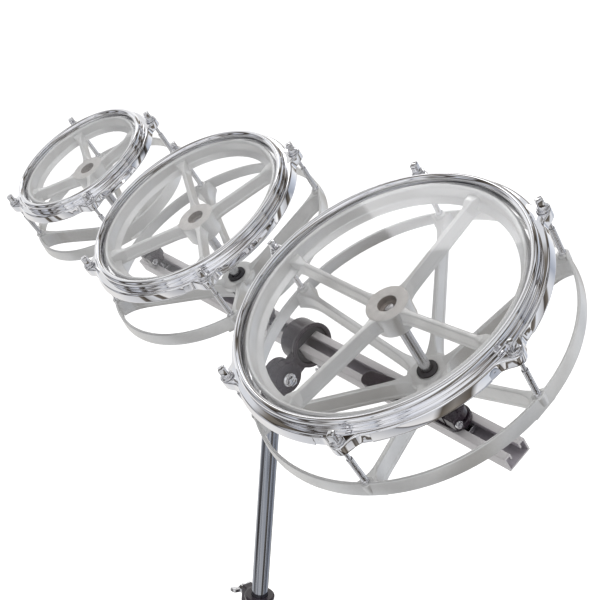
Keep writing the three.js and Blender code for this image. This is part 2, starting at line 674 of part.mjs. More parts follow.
function makeBoot(turnShare) {
  const end = legLength - boot.radius / 2;
  const body = pin(boot.radius, -end - boot.radius * boot.toeShare, -end + boot.length, facets.medium);
  const seat = pin(legs.radius + gap, -end - gap, -end + boot.length + overrun, facets.medium);
  const placed = hung(cut(body, seat), legs.pivotOut, legs.pivotHeight, leanDegrees);
  const reach = legs.footOut + boot.length * 2;
  const floor = block(-reach, reach, -reach, reach, -boot.length * 2, 0);
  return about(cut(placed, floor), turnShare);
}

// Assembly
const rototom = new THREE.Group();
rototom.name = 'rototom_set';

const row = new THREE.Group();
for (const drum of drums) row.add(makeDrum(drum));
row.add(asMesh('rail', makeRail(), cast));
const railLever = asMesh('rail_lever', makeRailLever(), black);
railLever.position.x = drums[0].along;
row.add(railLever);
row.add(asMesh('rail_sleeve', makeRailSleeve(), black));
row.add(asMesh('rail_clamp', makeRailClamp(), black));
row.add(asMesh('clamp_screw', makeClampScrew(), chrome));
row.rotation.x = -tilt;
row.position.y = -clamp.railBack - railMiddle * Math.sin(tilt);
row.position.z = pivotHeight + clamp.pivotDrop - railMiddle * Math.cos(tilt);
rototom.add(row);

rototom.add(asMesh('tilter_bolt', makeTilterBolt(), chrome));
rototom.add(asMesh('tilter_base', makeTilterBase(), black));
rototom.add(asMesh('post', makePost(), chrome));
rototom.add(asMesh('height_clamp', makeHeightClamp(), black));
rototom.add(asMesh('height_screw', makeHeightScrew(), chrome));
rototom.add(asMesh('base_tube', makeBaseTube(), chrome));
rototom.add(asMesh('leg_hub', makeLegHub(), black));
rototom.add(asMesh('brace_collar', makeBraceCollar(), black));
for (let i = 0; i < legs.count; i += 1) {
  const turnShare = legs.turnShare + i / legs.count;
  rototom.add(asMesh(`leg_${i + 1}`, makeLeg(turnShare), chrome));
  rototom.add(asMesh(`brace_${i + 1}`, makeBrace(turnShare), chrome));
  rototom.add(asMesh(`foot_${i + 1}`, makeBoot(turnShare), rubber));
}

// The set is built round the post and then moved over the origin
const extent = new THREE.Box3().setFromObject(rototom, true);
const middle = extent.getCenter(new THREE.Vector3());
rototom.position.set(-middle.x, -middle.y, -extent.min.z);

export default rototom;
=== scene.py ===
# The looks of a set of three rototoms on one rail, with its clamp, tilter and folding floor stand.
# Shapes are made in millimetres in the place where a piece works, and put into the frame in metres.
import json
from math import acos, atan2, copysign, cos, hypot, pi, radians, sin, tau
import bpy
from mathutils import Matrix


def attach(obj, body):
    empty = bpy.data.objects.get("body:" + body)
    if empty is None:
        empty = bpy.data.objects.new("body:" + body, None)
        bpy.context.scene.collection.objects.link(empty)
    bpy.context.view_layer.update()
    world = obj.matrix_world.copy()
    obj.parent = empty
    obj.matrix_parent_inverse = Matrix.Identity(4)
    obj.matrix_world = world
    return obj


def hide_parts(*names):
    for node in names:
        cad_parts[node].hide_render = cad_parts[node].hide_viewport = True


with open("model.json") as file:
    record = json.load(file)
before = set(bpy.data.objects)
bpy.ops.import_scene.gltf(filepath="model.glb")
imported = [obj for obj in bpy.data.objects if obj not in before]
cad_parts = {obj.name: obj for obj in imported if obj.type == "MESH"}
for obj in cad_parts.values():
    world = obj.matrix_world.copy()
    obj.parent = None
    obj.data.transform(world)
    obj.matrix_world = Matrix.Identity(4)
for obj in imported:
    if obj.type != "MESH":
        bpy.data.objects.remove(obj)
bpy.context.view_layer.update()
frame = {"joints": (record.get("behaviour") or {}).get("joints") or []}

from types import SimpleNamespace as Sizes

import bmesh
import bpy
from mathutils import Matrix, Vector

# Driving dimensions of the drums, in millimetres. Heights and drops are counted from the rim's plane.
# Names with _out are counted outward from half the head size, as are the near and far sides of the
# lower casting, and names with _in are counted inward. The ear's step_end is in radians.
TILT = radians(38.8)
GAP = 0.3
DRUMS = [
    Sizes(name="large", half=127.0, along=-252.0, lugs=6, turn=0.8, steps=360),
    Sizes(name="medium", half=101.6, along=49.85, lugs=4, turn=60.6, steps=300),
    Sizes(name="small", half=76.2, along=295.5, lugs=4, turn=63.9, steps=240),
]
HOOP = Sizes(
    wall=2.2, bead=3.5, bead_out=5.0, wall_out=7.5, shelf=-9.8, shelf_out=14.0, foot_out=16.8,
    foot=-19.0, bend=1.7,
)
EAR = Sizes(half=16.5, shelf_reach=11.6, foot_reach=10.2, plate=25.0, step=0.8, step_end=0.0012)
WELD = Sizes(along=19.5, height=-14.4, radius=1.3, half=0.5)
ROD = Sizes(
    out=19.4, radius=1.9, square=6.8, square_height=10.0, taper=0.08, washer=6.2, washer_height=1.6,
    collar=4.9, collar_height=1.9, foot=-71.0,
)
SLEEVE = Sizes(radius=2.8, top=-31.0, foot=-62.0, lip=0.6, lip_height=3.0)
FILM = Sizes(thickness=0.6, top=-4.0, flat_in=2.0, bend_out=0.6, bend_drop=1.2, foot_out=2.9)
FLESH = Sizes(width=4.3, height=5.7)
UPPER = Sizes(
    rim_out=-0.8, crown_in=4.4, crown_end_in=2.8, crown=-4.9, shoulder=2.4, inner_in=6.0, ledge_in=13.0,
    ledge=-16.5, ledge_foot=-20.0, foot=-25.0, hub=19.5, hub_top=-20.0, hub_height=23.0, recess=8.5,
    recess_depth=6.5, spokes=4, top_width=4.6, foot_width=6.8, depth=14.0, rim_drop=11.2, hub_drop=21.0,
    boss=13.0, boss_length=16.0, boss_top=-10.0, boss_foot=-24.0,
)
LOWER = Sizes(
    top_near=19.8, top_far=22.6, foot_near=20.6, foot_far=24.5, top=-61.0, foot=-74.5, boss=5.4,
    boss_foot=-72.0, top_width=4.6, foot_width=6.0, depth=19.5, rim_depth=17.0, rim_drop=62.0,
    spoke_from=13.0, hub=20.0, hub_top=-109.0, hub_drop=110.0, flange=6.0, neck=14.0, neck_foot=-130.0,
)
# A spoke's swell at an end: how much wider, and over what length
SWELL = Sizes(
    upper_hub=(5.0, 22.0), upper_rim=(2.6, 16.0), lower_hub=(5.5, 30.0), lower_rim=(8.5, 26.0),
    power=2.6,
)
SPOKE_BEAD = Sizes(height=4.6, share=0.3, step=0.6, slope=0.7)
BUSH = Sizes(radius=9.0, flange=9.8, flange_height=1.6)
SHAFT = Sizes(
    radius=5.1, top=-25.0, chamfer=1.2, tail=4.0, head_length=26.0, head_width=21.0, head_height=5.0,
    head_drop=0.6,
)
RAIL = Sizes(top=-183.4, width=27.4, height=16.9, wall=1.8, slot=11.2, lip=4.6, near=-321.0, far=328.0)
FOOT = Sizes(
    radius=12.0, height=18.0, neck=8.6, neck_height=6.4, slot=3.0, slot_rise=8.0, lug_half=13.0,
    lug_near=3.0, lug_far=12.6,
)
PINCH = Sizes(off=8.4, rise=12.0, radius=2.2, head=3.8, head_height=3.6, socket=1.9, socket_depth=1.4)
LEVER = Sizes(
    turn=4.2, eye=14.0, eye_height=5.8, tip=8.6, tip_at=114.0, grip_from=22.0, grip_height=9.0,
)

# The clamp on the rail and the tilter
CLAMP = Sizes(
    near=-26.0, far=2.0, outer=25.4, neck=23.4, rim=4.0, bore=20.7, disc=17.5, thickness=12.0,
    web=10.85, screw_along=-10.0, rail_back=30.0, pivot_drop=33.0,
)
LINING = Sizes(recess=3.5, clear=0.4)
SCREW = Sizes(
    radius=3.0, boss=6.5, boss_height=5.0, reach=27.0, collar=5.0, wire=1.6, wire_reach=17.0, bend=5.0,
    hook=9.0, ball=2.4, angle=radians(234),
)
BOLT = Sizes(radius=3.8, head=8.0, head_height=4.4, hex=5.6, hex_height=4.0, tail=5.0)
BASE = Sizes(
    disc=17.5, thickness=11.2, sleeve=13.8, sleeve_top=-20.0, sleeve_foot=-66.0, rim=0.9,
    rim_height=7.0, roof=6.0,
)

# The post and the folding stand
POST = Sizes(radius=9.5, foot=250.0)
TUBE = Sizes(radius=12.7, wall=1.9, top=466.0, foot=58.0)
HEIGHT = Sizes(
    radius=17.5, height=34.0, above=12.0, waist=1.4, collar=5.0, lug_width=13.0, lug_out=27.0,
    lug_height=22.0,
)
WING = Sizes(radius=3.0, reach=15.0, width=4.0, height=13.0, hub=5.6, hub_height=9.0)
LEGS = Sizes(count=3, turn=30.0, out=26.0, height=300.0, foot_out=330.0, radius=8.0, pin=3.0)
TAB = Sizes(thickness=4.6, radius=6.6, length=22.0)
HUB = Sizes(wall=5.0, height=30.0, plate=4.0, fork_out=33.0, fork_height=16.0)
BRACE = Sizes(length=110.0, thickness=2.5, width=12.0, side=0.6)
COLLAR = Sizes(wall=4.8, height=20.0, lug=4.6, lug_height=13.0, lug_in=2.4, pin_half=6.9)
BOOT = Sizes(
    radius=11.5, length=34.0, ground=9.0, toe=16.1, toe_height=18.0, ribs=3, rib_step=5.0, groove=1.3,
)
RIVET_HEAD = Sizes(crown=1.2, brace=1.3)

QUARTER = pi / 2
# Steps round a turned piece, from the widest to the thinnest
WIDE, ROUND, BODY, SMALL, THIN, DOT = 96, 64, 48, 40, 32, 16

# Places in the frame
joints = {joint["name"]: joint for joint in frame["joints"]}
pivot = Vector(joints["tilter_angle"]["pos_m"]) * 1000
pivot.x = Vector(joints["post_swivel"]["pos_m"]).x * 1000


def shift(x=0.0, y=0.0, z=0.0):
    return Matrix.Translation((x, y, z))


def turn_about(axis, angle):
    return Matrix.Rotation(angle, 4, axis)


RAIL_MIDDLE = RAIL.top - RAIL.height / 2
RAIL_SEAT = RAIL.top + GAP
STAND = shift(pivot.x, pivot.y)
ROW = (
    Matrix.Translation(pivot + Vector((0, -CLAMP.rail_back, CLAMP.pivot_drop)))
    @ turn_about("X", -TILT) @ shift(z=-RAIL_MIDDLE)
)
ALONG_X = turn_about("Y", QUARTER)
ALONG_Y = turn_about("X", -QUARTER)
UPRIGHT = turn_about("X", QUARTER)
ON_RAIL = shift(z=RAIL_MIDDLE) @ ALONG_X
TO_METRES = Matrix.Scale(0.001, 4)


def drum_place(drum):
    return ROW @ shift(drum.along)


# Meshes and objects
def as_data(name, mesh):
    """Blender mesh data made of a working mesh, which is freed."""
    data = bpy.data.meshes.new(name)
    mesh.to_mesh(data)
    mesh.free()
    return data


def in_scene(name, data):
    made = bpy.data.objects.new(name, data)
    bpy.context.scene.collection.objects.link(made)
    return made


def outward(mesh):
    bmesh.ops.recalc_face_normals(mesh, faces=mesh.faces)
    return mesh


def placed(mesh, matrix):
    bmesh.ops.transform(mesh, matrix=matrix, verts=mesh.verts)
    return mesh


def moved(mesh, x=0.0, y=0.0, z=0.0):
    return placed(mesh, shift(x, y, z))


def gathered(*parts):
    """One mesh that holds all the parts."""
    whole = bmesh.new()
    for part in parts:
        carrier = as_data("carrier", part)
        whole.from_mesh(carrier)
        bpy.data.meshes.remove(carrier)
    return whole


def around(count, turn, make):
    """Parts made one by one and set round Z."""
    return [placed(make(), turn_about("Z", radians(turn + 360 * i / count))) for i in range(count)]


# Outlines
def rounded(points, reach, steps=4, closed=True):
    """An outline with each corner rounded over the given reach, or less beside a short side."""
    points = [Vector(point) for point in points]
    last = len(points) - 1
    outline = []
    for i, corner in enumerate(points):
        if not closed and i in (0, last):
            outline.append(corner)
            continue
        ends = []
        for other in (points[i - 1], points[(i + 1) % len(points)]):
            way = other - corner
            ends.append(corner + way * min(reach / way.length, 0.48))
        for step in range(steps + 1):
            t = step / steps
            outline.append(ends[0] * (1 - t) ** 2 + corner * 2 * t * (1 - t) + ends[1] * t * t)
    return outline


def arc(x, y, radius, start, end, steps):
    angles = [start + (end - start) * i / steps for i in range(steps + 1)]
    return [Vector((x + radius * cos(a), y + radius * sin(a))) for a in angles]


def both_sides(right):
    """The right half of an outline and its mirror image."""
    return right + [(-y, z) for y, z in reversed(right)]


# Solid shapes
def off_axis(profile):
    """Whether a profile closes on itself. One that starts on the axis ends there too, and is open."""
    return profile[0][0] > 0


def spun(profile, steps=ROUND):
    """A profile of radius and height, turned once about Z."""
    mesh = bmesh.new()
    corners = [mesh.verts.new((radius, 0, height)) for radius, height in profile]
    pairs = list(zip(corners, corners[1:]))
    if off_axis(profile):
        pairs.append((corners[-1], corners[0]))
    edges = [mesh.edges.new(pair) for pair in pairs]
    bmesh.ops.spin(mesh, geom=corners + edges, cent=(0, 0, 0), axis=(0, 0, 1), angle=tau,
                   steps=steps, use_merge=True)
    bmesh.ops.remove_doubles(mesh, verts=mesh.verts, dist=1e-4)
    return outward(mesh)


def turned(profile, reach, corner_steps=4, steps=ROUND):
    """A profile with rounded corners, turned once about Z."""
    return spun(rounded(profile, reach, corner_steps, off_axis(profile)), steps)


def turned_pin(radius, low, high, reach=0.5, steps=ROUND):
    return turned([(0, low), (radius, low), (radius, high), (0, high)], reach, 4, steps)


def turned_ring(bore, outer, low, high, reach=0.5, steps=ROUND):
    return turned([(bore, low), (outer, low), (outer, high), (bore, high)], reach, 4, steps)


def prism(outline, low, high):
    """A closed outline in XY, raised from one height to another."""
    mesh = bmesh.new()
    face = mesh.faces.new([mesh.verts.new((x, y, low)) for x, y in outline])
    grown = bmesh.ops.extrude_face_region(mesh, geom=[face])["geom"]
    raised = [item for item in grown if isinstance(item, bmesh.types.BMVert)]
    bmesh.ops.translate(mesh, vec=(0, 0, high - low), verts=raised)
    return outward(mesh)


def upright_prism(outline, side, other):
    """A closed outline in XZ, between two distances along Y."""
    return placed(prism(outline, min(side, other), max(side, other)), UPRIGHT)


def block(x0, x1, y0, y1, z0, z1):
    return prism([(x0, y0), (x1, y0), (x1, y1), (x0, y1)], z0, z1)


def lofted(sections):
    """A closed skin over sections that have the same number of points."""
    mesh = bmesh.new()
    face = mesh.faces.new([mesh.verts.new(point) for point in sections[0]])
    for before, after in zip(sections, sections[1:]):
        grown = bmesh.ops.extrude_face_region(mesh, geom=[face])["geom"]
        face = next(item for item in grown if isinstance(item, bmesh.types.BMFace))
        for vert in face.verts:
            gaps = [(Vector(point) - vert.co).length_squared for point in before]
            vert.co = after[gaps.index(min(gaps))]
    return outward(mesh)


def swept(path, radius):
    """A round rod along a path in the XZ plane."""
    sections = []
    for i, point in enumerate(path):
        way = Vector(path[min(i + 1, len(path) - 1)]) - Vector(path[max(i - 1, 0)])
        across = Vector((-way.z, 0, way.x)).normalized()
        angles = [tau * k / DOT for k in range(DOT)]
        sections.append([
            Vector(point) + across * radius * cos(a) + Vector((0, radius * sin(a), 0))
            for a in angles
        ])
    return lofted(sections)


# Finishing steps
def softened(mesh, width, segments=3, limit=35.0):
    """Rounds each edge that is sharper than the limit."""
    sharp = [edge for edge in mesh.edges
             if edge.is_manifold and edge.calc_face_angle(0) > radians(limit)]
    bmesh.ops.bevel(mesh, geom=sharp, offset=width, offset_type="OFFSET", segments=segments,
                    profile=0.5, affect="EDGES", clamp_overlap=True, material=-1)
    return mesh


def worked(mesh, *steps):
    """Runs modifiers over a mesh, each given as its type and settings."""
    data = as_data("worked", mesh)
    body = in_scene("worked", data)
    for kind, settings in steps:
        modifier = body.modifiers.new(kind, kind)
        for key, value in settings.items():
            setattr(modifier, key, value)
    graph = bpy.context.evaluated_depsgraph_get()
    finished = bpy.data.meshes.new_from_object(body.evaluated_get(graph))
    result = bmesh.new()
    result.from_mesh(finished)
    bpy.data.objects.remove(body)
    bpy.data.meshes.remove(finished)
    bpy.data.meshes.remove(data)
    return result


def carved(mesh, *cutters):
    """Cuts closed meshes out of a body."""
    for cutter in cutters:
        data = as_data("cutter", cutter)
        tool = in_scene("cutter", data)
        mesh = worked(mesh, ("BOOLEAN", {"operation": "DIFFERENCE", "object": tool, "solver": "EXACT"}))
        bpy.data.objects.remove(tool)
        bpy.data.meshes.remove(data)
    return mesh


def moulded(parts, voxel=0.7, passes=4):
    """Melts overlapping bodies into one with soft inner corners."""
    return worked(
        gathered(*parts), ("REMESH", {"mode": "VOXEL", "voxel_size": voxel}),
        ("SMOOTH", {"factor": 0.5, "iterations": passes}),
    )


def piece(name, mesh, finish, body, node, place=None, sharp=38.0):
    """Puts a finished mesh into the frame as a piece that moves with its body."""
    placed(mesh, TO_METRES @ (place or Matrix()))
    data = as_data(name, mesh)
    data.shade_smooth()
    data.set_sharp_from_angle(angle=radians(sharp))
    for material in finish if isinstance(finish, list) else [finish]:
        data.materials.append(material)
    made = in_scene(name, data)
    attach(made, body)
    if node:
        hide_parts(node)


# Material maths
class Wire:
    """A node's socket that can stand in an expression."""

    def __init__(self, tree, socket=None):
        self.tree = tree
        self.socket = socket

    def node(self, kind, settings=None, sockets=None, out=0):
        made = self.tree.nodes.new(kind)
        for key, value in (settings or {}).items():
            if key == "stops":
                while len(made.color_ramp.elements) < len(value):
                    made.color_ramp.elements.new(1.0)
                for element, (position, *colour) in zip(made.color_ramp.elements, value):
                    element.position = position
                    element.color = shade(*colour)
            else:
                setattr(made, key, value)
        for key, value in (sockets or {}).items():
            if isinstance(value, Wire):
                self.tree.links.new(value.socket, made.inputs[key])
            else:
                made.inputs[key].default_value = value
        return Wire(self.tree, made.outputs[out])

    def maths(self, operation, other):
        return self.node("ShaderNodeMath", {"operation": operation}, {0: self, 1: other})

    def __add__(self, other):
        return self.maths("ADD", other)

    __radd__ = __add__

    def __sub__(self, other):
        return self.maths("SUBTRACT", other)

    def __mul__(self, other):
        return self.maths("MULTIPLY", other)

    def __gt__(self, other):
        return self.maths("GREATER_THAN", other)

    def __lt__(self, other):
        return self.maths("LESS_THAN", other)


def shade(red, green, blue):
    """A colour given as it looks on a screen, from 0 to 255."""
    levels = [level / 255 for level in (red, green, blue)]
    return (*[level / 12.92 if level < 0.04045 else ((level + 0.055) / 1.055) ** 2.4
              for level in levels], 1)


WHITE = (1, 1, 1, 1)


def darker(tone, share):
    return (*[share * level for level in tone[:3]], 1)


def mixed(wire, factor, first, second):
    return wire.node("ShaderNodeMix", {"data_type": "RGBA"}, {0: factor, 6: first, 7: second}, out=2)


def blended(wire, factor, first, second):
    """Two shaders, the second one where the factor is 1."""
    return wire.node("ShaderNodeMixShader", sockets={0: factor, 1: first, 2: second})


def new_material(name):
    material = bpy.data.materials.new(name)
    material.use_nodes = True
    material.node_tree.nodes.clear()
    return material, Wire(material.node_tree)


def shown(shader, kind="ShaderNodeOutputMaterial"):
    """Makes a shader the surface of its material or world."""
    out = shader.tree.nodes.new(kind)
    shader.tree.links.new(shader.socket, out.inputs["Surface"])


def principled(wire, **sockets):
    """A Principled shader. Names have _ for a space."""
    named = {key.replace("_", " "): value for key, value in sockets.items()}
    return wire.node("ShaderNodeBsdfPrincipled", sockets=named)


def object_place(wire):
    return wire.node("ShaderNodeTexCoord", out=3)


def noise(wire, place, scale, detail):
    """Noise whose grains are about 1 / scale metres across."""
    return wire.node("ShaderNodeTexNoise", sockets={"Vector": place, "Scale": scale, "Detail": detail})


def bumped(wire, height, depth, strength):
    return wire.node("ShaderNodeBump", sockets={
        "Strength": strength, "Distance": depth, "Height": height,
    })


def chrome_finish(name, tint, roughness, wave=0.000008, waves_per_metre=60.0):
    """Polished plating: faint handling marks and the slight waviness of bent and plated steel."""
    material, wire = new_material(name)
    place = object_place(wire)
    marks = noise(wire, place, 35.0, 4.0)
    waves = noise(wire, place, waves_per_metre, 1.0)
    shown(principled(
        wire, Base_Color=mixed(wire, marks * 0.35, tint, darker(tint, 0.88)), Metallic=1.0,
        Roughness=marks * 0.03 + (roughness - 0.01), Normal=bumped(wire, waves, wave, 0.6),
    ))
    return material


def cast_finish(name, tone, metallic=0.6, roughness=0.25):
    """Tumbled aluminium casting: a fine grain, a few flow clouds and a slightly uneven gloss."""
    material, wire = new_material(name)
    place = object_place(wire)
    grain = noise(wire, place, 1800.0, 2.0)
    clouds = noise(wire, place, 40.0, 2.0)
    pits = noise(wire, place, 420.0, 2.0)
    shown(principled(
        wire, Base_Color=mixed(wire, clouds * 0.7 + pits * 0.3, tone, darker(tone, 0.72)),
        Metallic=metallic, Roughness=roughness + clouds * 0.12,
        Normal=bumped(wire, grain * 0.5 + clouds, 0.00003, 0.4),
    ))
    return material


def machined_finish(name, place_matrix, tone, ring_step=0.0006):
    """A faced surface with fine rings round the drum's axis."""
    material, wire = new_material(name)
    inverse = (TO_METRES @ place_matrix @ TO_METRES.inverted()).inverted()
    local = wire.node("ShaderNodeMapping", sockets={
        "Vector": object_place(wire), "Location": inverse.to_translation(),
        "Rotation": inverse.to_euler(),
    })
    flat = wire.node("ShaderNodeVectorMath", {"operation": "MULTIPLY"}, {0: local, 1: (1, 1, 0)})
    out = wire.node("ShaderNodeVectorMath", {"operation": "LENGTH"}, {0: flat}, out=1)
    rings = wire.node("ShaderNodeMath", {"operation": "SINE"}, {0: out * (tau / ring_step)})
    stain = noise(wire, local, 160.0, 3.0)
    shown(principled(
        wire, Base_Color=mixed(wire, stain, tone, darker(tone, 0.72)), Metallic=0.6,
        Roughness=0.34 + stain * 0.14, Normal=bumped(wire, rings, 0.00003, 0.4),
    ))
    return material


def drawn_finish(name, tone, stretch, metallic, roughness):
    """Drawn or extruded metal: fine streaks along its length."""
    material, wire = new_material(name)
    local = wire.node("ShaderNodeMapping", sockets={"Vector": object_place(wire), "Scale": stretch})
    streaks = noise(wire, local, 900.0, 3.0)
    clouds = noise(wire, local, 90.0, 2.0)
    shown(principled(
        wire, Base_Color=mixed(wire, streaks * 0.6 + clouds * 0.4, tone, darker(tone, 0.84)),
        Metallic=metallic, Roughness=roughness + streaks * 0.1,
        Normal=bumped(wire, streaks, 0.00003, 0.35),
    ))
    return material


def black_finish(name, tone, roughness, grain=0.00006, sheen=0.5):
    """Moulded or enamelled black: an orange-peel skin with soft rubbed patches."""
    material, wire = new_material(name)
    place = object_place(wire)
    peel = noise(wire, place, 700.0, 2.0)
    rubbed = noise(wire, place, 55.0, 3.0)
    pale = (*[1.9 * level + 0.004 for level in tone[:3]], 1)
    shown(principled(
        wire, Base_Color=mixed(wire, rubbed, tone, pale), Metallic=0.0,
        Roughness=roughness + rubbed * 0.16, Specular_IOR_Level=sheen,
        Normal=bumped(wire, peel, grain, 0.4),
    ))
    return material


def film_finish(name, coat=0.055, slant_coat=0.6):
    """Clear polyester: only its gloss shows, more so at a low angle."""
    material, wire = new_material(name)
    haze = noise(wire, object_place(wire), 25.0, 2.0)
    tone = shade(250, 250, 252)
    gloss = principled(wire, Base_Color=tone, Metallic=1.0, Roughness=haze * 0.03 + 0.02)
    clear = wire.node("ShaderNodeBsdfTransparent")
    slant = wire.node("ShaderNodeLayerWeight", out=1)
    shown(blended(wire, slant.maths("POWER", 5.0) * slant_coat + coat, clear, gloss))
    return material


LENGTHWAYS, UPWAYS = (0.03, 1, 1), (1, 1, 0.04)
CHROME = chrome_finish("polished chrome", shade(246, 246, 248), 0.022)
KEY_CHROME = chrome_finish("rod chrome", shade(232, 232, 234), 0.06, 0.00035, waves_per_metre=260.0)
TUBE_CHROME = chrome_finish("tube chrome", shade(176, 180, 188), 0.09)
CAST = cast_finish("tumbled casting", shade(236, 236, 235))
# Darker, browner tone for the hub's recess: painted shade. Its higher roughness is real.
SHADED_BORE = cast_finish("rough bore", shade(158, 150, 144), metallic=0.4, roughness=0.5)
STEEL = drawn_finish("bright steel shaft", shade(222, 222, 224), UPWAYS, 1.0, roughness=0.2)
RAIL_METAL = drawn_finish("matt extruded rail", shade(214, 211, 212), LENGTHWAYS, 0.35, roughness=0.42)
# Darker tone for the faces inside the rail's channel: painted shade. Its higher roughness is real.
SHADED_SLOT_METAL = drawn_finish("dull slot", shade(188, 183, 190), LENGTHWAYS, 0.35, roughness=0.5)
STRIP = drawn_finish("zinc strip", shade(190, 192, 196), (1, 1, 0.1), 0.9, roughness=0.34)
BLACK = black_finish("satin black enamel", shade(34, 26, 33), 0.14, sheen=0.7)
BUSH_BLACK = black_finish("black bush plastic", shade(38, 37, 40), 0.45)
BOOT_RUBBER = black_finish("boot rubber", shade(32, 32, 34), 0.62, grain=0.0002, sheen=0.3)
FILM_CLEAR = film_finish("clear film")


# Pieces of a drum
def near_ear(drum, angle):
    """The middle of the nearest ear, and how far from it a corner of the hoop lies, in radians."""
    pitch, sector = tau / drum.steps, tau / drum.lugs
    middle = round(angle / sector) * sector
    side = angle - middle
    # The two rows beside a plate's end close up to it, so that its step is sharp
    end = EAR.plate / (drum.half + HOOP.foot_out)
    past = abs(side) - end
    if abs(past) < pitch:
        side = copysign(end + copysign(EAR.step_end, past), side)
    return middle, side


def counter_hoop(drum):
    """A rolled bead, a wall, a shelf that widens to an ear at each rod, and a skirt."""
    half, wall = drum.half, HOOP.wall
    under = HOOP.shelf - wall
    bead = arc(HOOP.bead_out, -HOOP.bead, HOOP.bead, -0.22 * pi, 1.2 * pi, 20)
    bends = rounded([
        bead[-1], (HOOP.wall_out - wall, under), (HOOP.shelf_out - wall / 2, under),
        (HOOP.foot_out - wall, HOOP.foot), (HOOP.foot_out, HOOP.foot), (HOOP.shelf_out, HOOP.shelf),
        (HOOP.wall_out, HOOP.shelf), bead[0],
    ], HOOP.bend, 5, closed=False)
    ring = spun([(half + out, height) for out, height in bends + bead[1:-1]], drum.steps)
    first = radians(drum.turn)
    for vert in ring.verts:
        middle, side = near_ear(drum, atan2(vert.co.y, vert.co.x) - first)
        along = abs(side) * (half + HOOP.foot_out)
        out = hypot(vert.co.x, vert.co.y) - half
        low = min(max((HOOP.shelf - vert.co.z) / (HOOP.shelf - HOOP.foot), 0.0), 1.0)
        reach = EAR.shelf_reach + (EAR.foot_reach - EAR.shelf_reach) * low
        bulge = cos(QUARTER * along / EAR.half) ** 2 if along < EAR.half else 0.0
        edge = (out - HOOP.wall_out - 1.0) / (HOOP.shelf_out - HOOP.wall_out - 2.5)
        out += reach * bulge * min(max(edge, 0.0), 1.0)
        if along < EAR.plate and low > 0.25:
            out -= EAR.step
        turn = middle + side + first
        vert.co.x = (half + out) * cos(turn)
        vert.co.y = (half + out) * sin(turn)

    def welds():
        skirt = half + (HOOP.shelf_out + HOOP.foot_out) / 2 - EAR.step
        dots = []
        for side in (-1, 1):
            dot = turned_pin(WELD.radius, -WELD.half, WELD.half, 0.6, DOT)
            turn = turn_about("Z", side * WELD.along / skirt)
            dots.append(placed(dot, turn @ shift(skirt, 0, WELD.height) @ ALONG_X))
        return gathered(*dots)

    return gathered(ring, *around(drum.lugs, drum.turn, welds))


HEAD_FOOT = HOOP.shelf - HOOP.wall - GAP


def clear_head(drum):
    """The film: a flat top, a bend over the rim and an edge held by the flesh hoop."""
    thick = FILM.thickness
    flat, bend, foot = drum.half - FILM.flat_in, drum.half + FILM.bend_out, drum.half + FILM.foot_out
    return turned([
        (0, FILM.top), (flat, FILM.top), (bend, FILM.top - FILM.bend_drop), (foot, HEAD_FOOT),
        (foot - thick, HEAD_FOOT), (bend - thick, FILM.top - FILM.bend_drop - thick),
        (flat, FILM.top - thick), (0, FILM.top - thick),
    ], 0.9, 4, drum.steps // 2)


def flesh_hoop(drum):
    bore, foot = drum.half + FILM.foot_out - FILM.thickness, HEAD_FOOT - FLESH.height
    return turned_ring(bore, bore + FLESH.width, foot, HEAD_FOOT, 1.1, drum.steps // 2)


def spoke(hub, rim, widths, depths, hub_swell, rim_swell):
    """A rib between two points given as distance and height of its top. It swells at both ends."""
    shares = [0, 0.015, 0.03, 0.05, 0.075, 0.105, 0.14, 0.2, 0.3, 0.42, 0.5]
    shares += [1 - share for share in reversed(shares[:-1])]
    length = rim[0] - hub[0]
    sections = []
    for share in shares:
        swell = 0.0
        for (wider, reach), past in ((hub_swell, share), (rim_swell, 1 - share)):
            swell += max(0.0, 1 - past * length / reach) ** SWELL.power * wider
        top = hub[1] + (rim[1] - hub[1]) * share
        depth = depths[0] + (depths[1] - depths[0]) * share
        bead = min(SPOKE_BEAD.height, depth * SPOKE_BEAD.share)
        upper, foot = (width / 2 + swell for width in widths)
        side = foot + (upper - foot) * bead / depth
        right = [
            (upper, top), (side, top - depth + bead),
            (side + SPOKE_BEAD.step, top - depth + bead - SPOKE_BEAD.slope),
            (foot + SPOKE_BEAD.step, top - depth),
        ]
        corners = rounded(both_sides(right), 1.1, 3)
        sections.append([(hub[0] + length * share, y, z) for y, z in corners])
    return lofted(sections)


def rim_boss(drum):
    """The block that joins a spoke to the upper casting's rim."""
    outer_end = drum.half - UPPER.ledge_in
    inner_end = outer_end - UPPER.boss_length / 2
    share = (inner_end - UPPER.recess) / (drum.half - UPPER.inner_in - UPPER.recess)
    drop = UPPER.hub_drop + (UPPER.rim_drop - UPPER.hub_drop) * share
    ends = []
    for at, top, foot, width in (
        (inner_end, -drop, -drop - UPPER.depth, UPPER.top_width),
        (outer_end, -drop + 3.0, UPPER.boss_foot, UPPER.boss * 0.72),
        (drum.half - UPPER.inner_in + 1.0, UPPER.boss_top, UPPER.boss_foot, UPPER.boss),
    ):
        side = width / 2
        corners = rounded([(-side, top), (side, top), (side, foot), (-side, foot)], 1.8)
        ends.append([(at, y, z) for y, z in corners])
    return lofted(ends)


